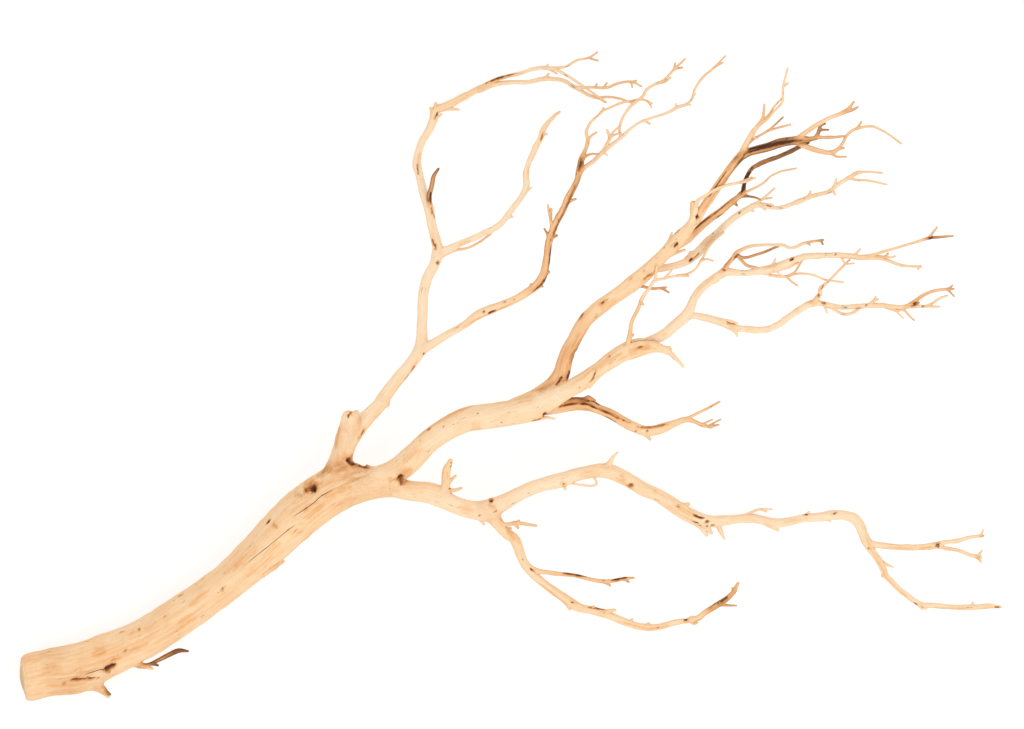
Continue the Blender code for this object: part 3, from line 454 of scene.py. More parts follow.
        (285, 165, 128.5, 2.9), (297, 173.8, 132.5, 2.9), (306, 178.8, 135, 3), (312, 182.3, 137, 2.4),
        (318, 183.3, 139, 1.6), (334, 182.5, 142, 1.1)]),
    "pale_twig": ("pale_limb", [
        (304, 178, 134.6, 1.8), (309.5, 176.4, 134, 1.6), (320, 175.7, 133, 1.4), (338.5, 172, 132, 1)]),
    "pale_twig_upper": ("pale_limb", [
        (218, 152.8, 120, 2), (226, 158.5, 123, 1.5), (237.5, 168.5, 127, 1.1)]),
    "crossing_twig": ("rising_limb", [
        (160, 133, 157, 5), (164.8, 143.6, 165, 4.8), (166.6, 151.8, 170, 4), (168.3, 157.1, 173, 3),
        (173, 160.6, 175.5, 2.2), (188, 169, 179, 2.2), (197, 172, 180, 2), (207, 174, 180.5, 1.8),
        (217, 178.5, 181, 1.3)]),
    "long_twig": ("middle_limb", [
        (104, 22, 101, 5), (105.8, 30, 108, 3.8), (107.5, 38, 113, 3.2), (108.5, 46, 118, 2.8),
        (115.8, 62.6, 128, 2.8), (119, 70.5, 132, 2.8), (124.3, 78, 136, 2.4), (130, 85.5, 138, 2.2),
        (136, 87, 138, 1.8), (153, 90.5, 137, 1.6), (160, 92, 136.5, 1.6), (166, 95.5, 136, 1.6),
        (170.5, 102, 135.5, 1.5), (180, 118, 134.5, 1.4), (191, 129.5, 133.5, 1.1)]),
    "bark_twig": ("rising_limb", [
        (112, 81, 129, 3), (118, 80.5, 127, 2.2), (126, 78.3, 125, 2.2), (140, 79.3, 123, 1.3)]),
    "right_limb": ("trunk", [
        (-150, -99, 54, 30), (-130, -96.8, 55, 24.8), (-115, -97.3, 55, 20), (-100, -101.5, 54, 16.5),
        (-90, -103.5, 53.5, 16.5), (-70, -106.5, 52, 18), (-50, -116.5, 50, 14), (-40, -120, 48.5, 14.5),
        (-25, -121.6, 47, 16.2), (-10, -116.4, 46, 14.6), (0, -111.2, 45, 12.8), (10, -105.6, 44, 11.8),
        (20, -101, 43, 12), (30, -97.7, 42, 12), (40, -95.2, 40.5, 13), (50, -92.6, 39, 12.5),
        (60, -89, 37, 11), (70, -86.8, 35, 11.2), (80, -85.2, 32.5, 12), (90.3, -86.4, 30, 12.8),
        (100.4, -90.9, 27, 12.6), (110.4, -96.4, 24, 11.6), (120, -102.4, 21, 11.8),
        (130, -106.5, 18, 11.3), (140, -112.3, 15, 12.2), (150, -119, 12, 12.6), (160, -125, 9, 12.4),
        (170, -129.5, 6.3, 12.4), (182, -131, 6.5, 9.5), (190, -130.5, 7.5, 9), (200, -129.5, 9, 7.5),
        (210, -128.5, 11, 7.3), (220, -128.8, 14, 7.5), (230, -131, 17, 7.8), (240, -132.5, 20, 8),
        (250, -131.5, 23, 7.5), (260, -129, 26, 7), (280, -127, 32, 7.8), (290, -125.3, 35, 7.5),
        (300, -125.7, 38, 7.8), (308.9, -128.4, 40, 8.6), (313.3, -133.2, 41, 8.6), (317.8, -144, 43, 7.6),
        (320.6, -150, 44, 7.8), (324.2, -156.5, 44, 6), (332.8, -168.6, 42, 5.6), (337.6, -180, 40, 4.8),
        (342.4, -185, 39, 4.5), (347.6, -190.4, 38, 4.3), (353.7, -195.3, 37, 4.3), (371, -206.3, 36, 4.3),
        (380, -206.8, 36.5, 4.2), (400, -208.3, 39.5, 4), (420, -208.1, 43, 4), (430, -207.3, 44.5, 3.8),
        (440.6, -208.2, 46, 2)]),
    "right_fork": ("right_limb", [
        (319, -148, 43.8, 5.5), (325, -151.5, 45, 5.6), (332, -152.6, 46.5, 4.9), (345, -154, 49, 4.5),
        (360, -154.8, 52, 4.6), (372, -154.2, 55, 4.8), (384, -152.1, 58, 4.6), (392, -149.8, 60, 3.2),
        (401, -149, 62, 3), (412, -145.8, 65, 2.7), (425.5, -143.8, 69, 1.2)]),
    "right_fork_lower": ("right_fork", [
        (382, -153, 57.6, 3), (392, -155.4, 59, 3), (404, -157.6, 60, 2.8), (413, -161.2, 61, 2.8),
        (422.5, -163.6, 62, 3)]),
    "low_limb": ("right_limb", [
        (-22, -121, 47, 13), (-12.6, -131.6, 46, 11), (-4.8, -141, 44, 9), (3, -147, 42.5, 9.2),
        (7, -155, 40.5, 8.6), (9.5, -163, 38.5, 8), (14, -171.5, 36, 7.6), (22, -180.5, 32.5, 7.2),
        (31, -188, 29.5, 6.8), (50, -201.5, 24, 7.4), (56, -205.8, 22.5, 8), (63, -209.3, 21, 6.8),
        (74, -211.5, 18.5, 6), (85, -214.5, 16.5, 6), (97, -219.3, 14.5, 5.8), (110, -224.2, 12.5, 5.2),
        (124, -226.8, 11.5, 5), (136, -225.5, 11.5, 4.6), (148, -222.2, 12.5, 4.2), (160, -220.3, 14, 4.1),
        (167.6, -218.6, 15.5, 4.2), (174.5, -213.7, 17, 4.4), (190.5, -203.5, 21.5, 4.4),
        (196.5, -199, 24, 3.8), (201.2, -193.8, 26, 3), (204.6, -187, 29, 1.6)]),
    "low_limb_twig": ("low_limb", [
        (14, -171, 36, 4.5), (23, -175.3, 36, 4), (34, -177.3, 37, 3.4), (46, -178.6, 38.5, 3.1),
        (58, -180, 40, 2.7), (70, -183, 42, 2.7), (82, -185.2, 44, 3), (92, -184.8, 46, 3),
        (101, -183, 48, 2.6), (110.5, -182, 50, 1.4)]),
    "crotch_twig": ("right_limb", [
        (-15, -127, 48, 3.4), (-5, -134, 50, 3), (4, -132.8, 52, 2.7), (23, -135, 54, 1.4)]),
    "right_twig": ("right_limb", [
        (209, -126.5, 12, 2), (216, -123.3, 14, 1.7), (223, -120.6, 16, 1.5), (235, -120.2, 18, 1.1)]),
    "spur": ("right_limb", [
        (87, -83, 33, 6), (90.2, -77, 36, 3.8), (93, -72.4, 38.5, 2.2), (96.4, -69, 40, 1.1)]),
    "splinter": ("right_limb", [
        (165, -127, 8, 6), (172, -136.5, 6.5, 5), (176, -143.5, 6, 2.4)]),
    "upright_stub": ("right_limb", [
        (-58.9, -108, 52, 7.6), (-58.4, -95, 58, 7.2), (-57.4, -84, 63, 7), (-54.2, -77, 66, 4.2)]),
}

# (the limb that it grows from, how far it rises for each millimetre in plan, (x, y, diameter) from base to
# tip, and for some twigs their brownness). The parent "last" is the small twig just before.
SMALL_TWIGS = [
    ("left_limb", 0.3, [(-62, 241.5, 3), (-58, 240.5, 2.5), (-47, 239.5, 1.4)]),
    ("left_limb", 0.4, [(-68, 237, 3), (-69.5, 237, 2.5), (-72, 240.5, 2)]),
    ("left_limb", 0.4, [(-68, 238, 3), (-68, 241, 2.2), (-67.5, 245, 1.8)]),
    ("left_limb", 0.5, [(-70, 229, 2), (-66, 232.5, 1.6), (-62.5, 235, 1.2)]),
    ("hook_twig", 0.4, [(30, 266.5, 2), (34, 271.5, 1.4)]),
    ("hook_twig_upper", 0.4, [(31, 277, 1.6), (33.5, 280, 1)]),
    ("hook_twig_upper", -0.2, [(33, 276.5, 1.6), (42, 271.5, 1)]),
    ("hook_twig", 0.4, [(84, 259.5, 1.4), (86.5, 263.5, 0.9)]),
    ("hook_twig", 0.4, [(76, 259.5, 1.4), (77.5, 262.5, 0.9)]),
    ("hook_twig", 0.4, [(108, 264, 1.4), (113, 265.5, 0.9)]),
    ("hook_twig", -0.4, [(108.5, 264, 1.4), (109.5, 259.5, 0.9)]),
    ("hook_twig_high", 0.1, [(70, 286, 1.2), (78.5, 283.5, 0.9)]),
    ("hook_twig_low", 0.2, [(79, 250, 1.6), (85, 246, 1.2)]),
    ("side_limb", 0.5, [(13, 165, 2), (18.5, 169, 1.2)]),
    ("side_limb", 0.5, [(28, 216, 2.4), (32.5, 217.5, 1.4)]),
    ("side_limb", 0.3, [(-3, 142.5, 2.2), (1.8, 143, 1.2)]),
    ("brown_limb", 0.5, [(34, 126, 2), (30.5, 132, 1.2)]),
    ("brown_limb", 0.5, [(36.5, 124, 2.2), (41.5, 126, 1.6)]),
    ("fork_twig", 0.5, [(36, 141, 1.8), (36.5, 150, 1.4)]),
    ("brown_limb", 0.3, [(50.5, 156, 2.4), (58.5, 159, 1.3)]),
    ("brown_limb", 0.5, [(18, 77.5, 2.4), (18.2, 82, 1.6)]),
    ("brown_limb", 0.2, [(30, 92, 3.5), (34.3, 93, 2.2)]),
    ("brown_limb", 0.1, [(25, 82.5, 3), (28.5, 80.2, 1.4)]),
    ("brown_limb", 0.5, [(69.5, 211.5, 1.8), (73, 216, 1.5), (77.5, 219, 1)]),
    ("brown_limb", 0.5, [(82, 237.5, 1.4), (83.5, 241, 1)]),
    ("brown_limb", 0.5, [(65, 196, 2), (72.5, 199.5, 1.3), (79, 199.3, 1)]),
    ("spray_twig_right", 0.2, [(83, 201, 1.6), (87, 198.2, 0.9)]),
    ("spray_twig_left", 0.6, [(89, 214, 1.6), (93, 220, 1.2), (97.8, 224, 1)]),
    ("spray_twig_left", 0.2, [(89, 214, 1.6), (95, 217.3, 1.2), (99.5, 218, 1)]),
    ("spray_twig_right", -0.2, [(120, 229.5, 1.7), (125.5, 226.5, 1.1)]),
    ("spray_twig_right", 0.4, [(149, 240.5, 1.6), (148.5, 244.5, 1.1)]),
    ("spray_twig_right", 0.2, [(158, 244.5, 1.4), (162, 243.5, 0.9)]),
    ("spray_twig_middle", 0.5, [(132, 263, 1.7), (139, 264.5, 1.4), (144, 268.3, 1)]),
    ("spray_twig_middle", 0.5, [(147, 275.5, 1.4), (148, 281, 1)]),
    ("spray_twig_middle", 0.3, [(148, 276, 1.3), (154.5, 277.3, 0.9)]),
    ("spray_twig_right", 0.3, [(164, 252, 1.3), (166, 253.5, 0.9)]),
    ("spray_twig_right", 0.3, [(183, 277.7, 1.2), (191, 281.7, 0.9)]),
    ("brown_limb", 0.1, [(123, 247.3, 1.2), (127, 241.5, 0.8)]),
    ("middle_limb", 0.1, [(20, -38, 4), (25, -39, 2.6), (31, -37.8, 2), (39.5, -38.8, 1.2)]),
    ("long_twig", 0.5, [(116.5, 67, 2), (119.3, 64, 1.5)]),
    ("long_twig", 0.5, [(106.6, 33, 1.8), (110.5, 37, 1.1)]),
    ("long_twig", 0.5, [(139, 87.7, 1.6), (144.8, 94.7, 1)]),
    ("long_twig", 0.1, [(150, 90, 1.7), (160, 89.5, 1.2)]),
    ("long_twig", 0.5, [(130, 86, 1.8), (131.5, 98.5, 1.1)]),
    ("long_twig", 0.4, [(171, 103.3, 1.6), (176, 104.8, 1.3), (182, 103.3, 1)]),
    ("pale_limb", 0.15, [
        (165, 107, 2.4), (175, 114, 1.6), (180, 119.5, 1.5), (186, 124, 1.3), (192, 129, 1)]),
    ("bark_twig", 0.1, [(136, 78.5, 1.6), (142.3, 74.8, 1)]),
    ("rising_limb", 0.1, [(142, 108.5, 3), (149, 110.5, 2.2), (157, 113.3, 1.4)]),
    ("rising_limb", 0.4, [(142, 116, 3), (143.5, 124, 1.7), (145, 128.3, 1.2)]),
    ("middle_limb", 0.1, [(139, 24.5, 2), (143, 25.5, 1.6), (144.5, 23, 1.1)]),
    ("far_limb", 0.5, [(235, 98, 2), (238.3, 105, 1.2)]),
    ("far_limb", -0.2, [(240, 98, 2), (241, 91.8, 1.4), (245, 90, 1.2)]),
    ("far_limb", 0, [(238, 96.5, 6), (250, 98.5, 3.6), (259.5, 101.5, 1.4)]),
    ("far_limb", -0.2, [(226, 93.5, 1.8), (233, 89.6, 1.1)]),
    ("thin_twig", 0.2, [(248, 89.3, 1.6), (253, 84.5, 1.2), (258, 81, 1)]),
    ("thin_twig", 0.4, [(250, 89.7, 1.6), (256, 93.5, 1.3), (259, 98, 1.2), (263, 104.8, 1)]),
    ("far_limb", 0.1, [(298, 107, 1.8), (300.5, 101, 1), (309, 101, 0.8)]),
    ("far_limb", 0.4, [(309, 107.5, 2), (314.5, 113.8, 1.1)]),
    ("far_limb", 0.2, [(331, 107, 2), (336.5, 107, 1.5), (343, 106.5, 1.1), (346, 107.6, 1)]),
    ("last", 0.4, [(337.5, 107, 1.8), (339.5, 109.8, 1.3)]),
    ("far_limb", -0.2, [(369, 98.5, 1.4), (366.3, 95.6, 1)]),
    ("brown_twig", 0.1, [(267, 119.2, 1.4), (269.5, 117.5, 0.9)]),
    ("brown_twig", 0.1, [(279, 121.5, 1.3), (281, 118.2, 0.9)]),
    ("brown_twig", -0.2, [(202.8, 109.5, 2.6), (208, 103.5, 2.2), (212.5, 99.3, 2), (221, 97.3, 1.8)]),
    ("near_limb", 0.15, [(186, 50.5, 3), (192, 50, 2), (199, 48.8, 1.7), (204, 47, 1.2)]),
    ("near_limb", 0.1, [(198, 44, 5), (202.5, 39.5, 3), (203.8, 36, 1.4)]),
    ("near_limb", -0.15, [
        (286, 63, 2.4), (292, 58.6, 1.8), (298, 55.8, 2), (304, 55.3, 2.2), (309, 57, 2.2),
        (315, 61.5, 1.6)]),
    ("near_limb", 0, [(283, 62.5, 1.8), (284.6, 56.5, 1.1)]),
    ("near_limb", 0.3, [(322, 63, 2.2), (327.5, 67.8, 1.8), (330.5, 68.6, 1.4)]),
    ("last", 0.4, [(327, 67, 1.6), (328.6, 71.2, 1)]),
    ("near_limb", -0.1, [(338, 62, 2.4), (342, 60.3, 2.2), (348, 58.7, 2), (354, 59.8, 1.8)]),
    ("last", -0.2, [(353, 60, 1.8), (357, 56, 1.5), (360, 52.5, 1.3), (363, 50, 1)]),
    ("near_limb", -0.2, [(343, 61.5, 1.2), (353.5, 51.5, 0.8)]),
    ("near_twig", 0.1, [(361, 65.3, 2.2), (367.2, 65.6, 1.5)]),
    ("near_twig", 0.1, [(393, 78, 1.6), (399, 71.5, 1)]),
    ("near_twig", 0.4, [(394, 78, 1.3), (397.6, 81.2, 0.9)]),
    ("lower_hook", -0.1, [(119, -50, 3), (125.3, -57.3, 1.8)]),
    ("lower_hook", 0.1, [(160, -39.5, 2), (163.8, -36, 1)]),
    ("lower_hook", 0.2, [(172, -44, 1.6), (181.5, -39.5, 0.9)]),
    ("lower_hook", 0.2, [(178, -45.5, 1.6), (184, -42, 1.1), (189, -39.5, 0.9)]),
    ("lower_hook", 0.2, [(179, -46, 1.8), (187, -44.3, 1.3)]),
    ("lower_hook", 0, [(70, -21, 6), (75, -22.5, 3)]),
    ("high_twig", 0.3, [(226, 228, 1.8), (233, 236, 1.3), (237, 242, 1.2), (244.5, 250, 1)]),
    ("high_twig", 0.4, [(247, 261, 1.3), (249.6, 263.4, 0.9)]),
    ("high_twig", -0.3, [(218.5, 221, 2), (219.5, 214, 1.3), (222, 213.5, 1)]),
    ("tip_upper", 0.2, [(301, 237.5, 3), (308, 239.3, 2), (312.5, 241.7, 1)]),
    ("tip_middle", 0.1, [(277.5, 221.3, 2), (286, 221.3, 1)]),
    ("tip_middle", 0.1, [(278.7, 225, 1.8), (283, 226.8, 1.2)]),
    ("tip_lower", 0.1, [(288, 201.5, 2), (292, 197.6, 1.4), (302, 197, 1)]),
    ("tip_lower", 0.2, [(293, 203, 1.6), (300, 205, 1)]),
    ("tip_lower", 0.2, [(312, 222.7, 1.7), (315.5, 228.5, 1)]),
    ("crossing_twig", 0.2, [(207, 174, 1.8), (213, 175, 1.4), (220, 178, 1)]),
    ("rising_limb", 0.7, [(166, 141, 7), (164.5, 149, 6), (164, 155, 4.5)]),
    ("dark_limb", 0.1, [(205, 161, 2), (214, 161.3, 1.4), (220, 160.3, 1.2), (224.5, 158.5, 1)]),
    ("dark_limb", 0, [(200, 157, 2.6), (203.5, 153.3, 1.6)]),
    ("dark_limb", 0.2, [(208, 164.5, 2), (213, 162, 1.2)]),
    ("pale_limb", 0.3, [(160.5, 105.5, 5), (162, 110.5, 3)]),
    ("pale_limb", 0, [(214.5, 151, 2.4), (218.5, 148, 1.3)]),
    ("pale_limb", 0, [(226.5, 153, 2), (229, 149, 1.2)]),
    ("pale_limb", 0.1, [(226, 153.5, 3), (236, 153.8, 1.4)]),
    ("pale_limb", 0.4, [(268, 160.5, 2.4), (270, 165.8, 1.5)]),
    ("pale_limb", 0.4, [(290.5, 169, 2.2), (293.2, 177, 1.3)]),
    ("pale_limb", 0.1, [(286.5, 165.8, 2), (290, 166, 1.6), (292, 162.8, 1.1)]),
    ("pale_twig_upper", 0.1, [(226, 158.5, 1.3), (235, 160, 0.9)]),
    ("right_limb", 0.2, [
        (73.5, -88, 2.6), (76, -93, 1.7), (77.3, -97.5, 1.7), (72, -99.3, 1.7), (66, -98.8, 1.7),
        (56, -97.3, 1.4)]),
    ("right_limb", 0.1, [(47, -94, 4), (49, -102, 2)]),
    ("right_limb", 0.1, [(152, -118, 4), (160, -115.6, 2.4)]),
    ("right_limb", 0, [(185, -131, 5), (188.2, -138, 3.6), (192.2, -147, 1)]),
    ("right_limb", 0, [(168, -129, 6), (177, -137, 4.6), (180.5, -141.5, 2.2)]),
    ("right_limb", 0, [(233, -133.5, 6), (238, -137, 4.5), (240.8, -139.6, 1.6)]),
    ("right_limb", 0.3, [(265, -127, 3), (268.3, -122.8, 1.6)]),
    ("right_limb", 0, [(284, -128, 3), (287.5, -131, 1.6)]),
    ("right_limb", 0.1, [(334, -168, 3), (340.5, -171, 1.7), (344, -172.3, 1)]),
    ("right_limb", 0, [(337, -175.5, 3), (334.6, -180.5, 2)]),
    ("right_limb", 0.1, [(367, -205, 2.4), (370.5, -209.8, 1.8), (374, -209.5, 1.4)]),
    ("right_limb", 0.3, [(415, -208, 2), (416, -204.3, 1.4)]),
    ("right_fork", 0.5, [(423, -144.2, 1.7), (425.2, -139, 0.9)]),
    ("right_fork_lower", 0.4, [(420, -163, 2.4), (424.2, -157.5, 1.1)]),
    ("right_fork_lower", 0, [(420.5, -163.5, 2.4), (423.5, -168, 1.1)]),
    ("right_twig", 0, [(226, -120.4, 1.6), (230, -122.3, 1.1)]),
    ("broken_leader", 0.2, [(-144, -44, 11), (-140.8, -37.5, 8.5), (-139, -34.2, 5.5)]),
    ("left_limb", 0, [(-115, -21, 8), (-112, -25.5, 5.5)]),
    ("trunk", 0, [(-136, -86, 10), (-129.5, -83, 4.5)]),
    ("trunk", -0.1, [(-222, -168.4, 15), (-211, -169.7, 5.4), (-205, -167.2, 2.8)]),
    ("upright_stub", 0.3, [(-55.5, -96, 3), (-52, -92.5, 1.9), (-49.5, -90, 1.3)]),
    ("upright_stub", 0.1, [(-57, -103, 4), (-51, -103.2, 2.8), (-44.5, -101.2, 1.8)]),
    ("low_limb", 0.2, [(188, -206, 2.4), (196, -206.8, 1.5), (203, -207, 1)]),
    ("low_limb", 0.1, [(67, -210, 2.6), (75, -208, 1.5)]),
    ("low_limb", 0.2, [(80, -213, 4), (87, -212, 3.2), (93.5, -211, 2.4)]),
    ("low_limb", 0, [(50, -203, 4), (53, -210.5, 1.6)]),
    ("low_limb", 0.2, [(106, -222.5, 2.2), (109.5, -219.5, 1.3)]),
    ("low_limb", 0.2, [(120, -226, 2.4), (124.5, -222.8, 1.4)]),
    ("low_limb", 0.2, [(160, -220.5, 3), (163.5, -217.2, 2)]),
    ("low_limb", 0, [(162, -220.5, 2.4), (165, -223.8, 1.8), (168, -222.5, 1.2)]),
    ("low_limb", 0.3, [(201, -195, 2), (199.6, -191.2, 1.2)]),
    ("low_limb_twig", 0, [(84, -185.5, 2.2), (89.5, -189, 1.5)]),
    ("low_limb_twig", 0, [(102, -183, 2), (106, -185.7, 1.3)]),
    ("right_limb", 0, [(-30, -127, 3), (-24, -133.8, 1.8)]),
    ("crotch_twig", 0, [(3.5, -132.8, 2.8), (6.5, -137, 2)]),
    ("crotch_twig", 0.3, [(5, -133, 2), (7.3, -130.4, 1.2)]),
    ("low_limb", 0.1, [(-5, -139, 3), (0, -137.6, 1.8)]),
    ("trunk", -0.1, [
        (-408, -265.5, 36), (-391, -269, 31), (-377.5, -274, 21.5), (-371, -280, 9.5),
        (-366.5, -284.4, 4.8), (-362, -289, 1.8)]),
    ("last", 0.2, [(-366, -281, 2.6), (-364, -284.3, 3), (-360.6, -286.8, 1.8)], 0.95),
    ("trunk", -0.05, [
        (-342, -246, 22), (-340, -253, 13), (-335, -260, 5.5), (-328.5, -262, 3.4), (-322.5, -263.6, 1.8)]),
    ("last", 0.05, [
        (-334, -261, 4), (-325.5, -260, 2.6), (-318, -256.6, 2.8), (-308, -251.5, 3.6),
        (-298, -247.4, 3.4), (-290.5, -248, 1.2)], 0.92),
    ("last", 0.3, [(-322, -259.3, 2.4), (-317.3, -260.8, 1.2)]),
]
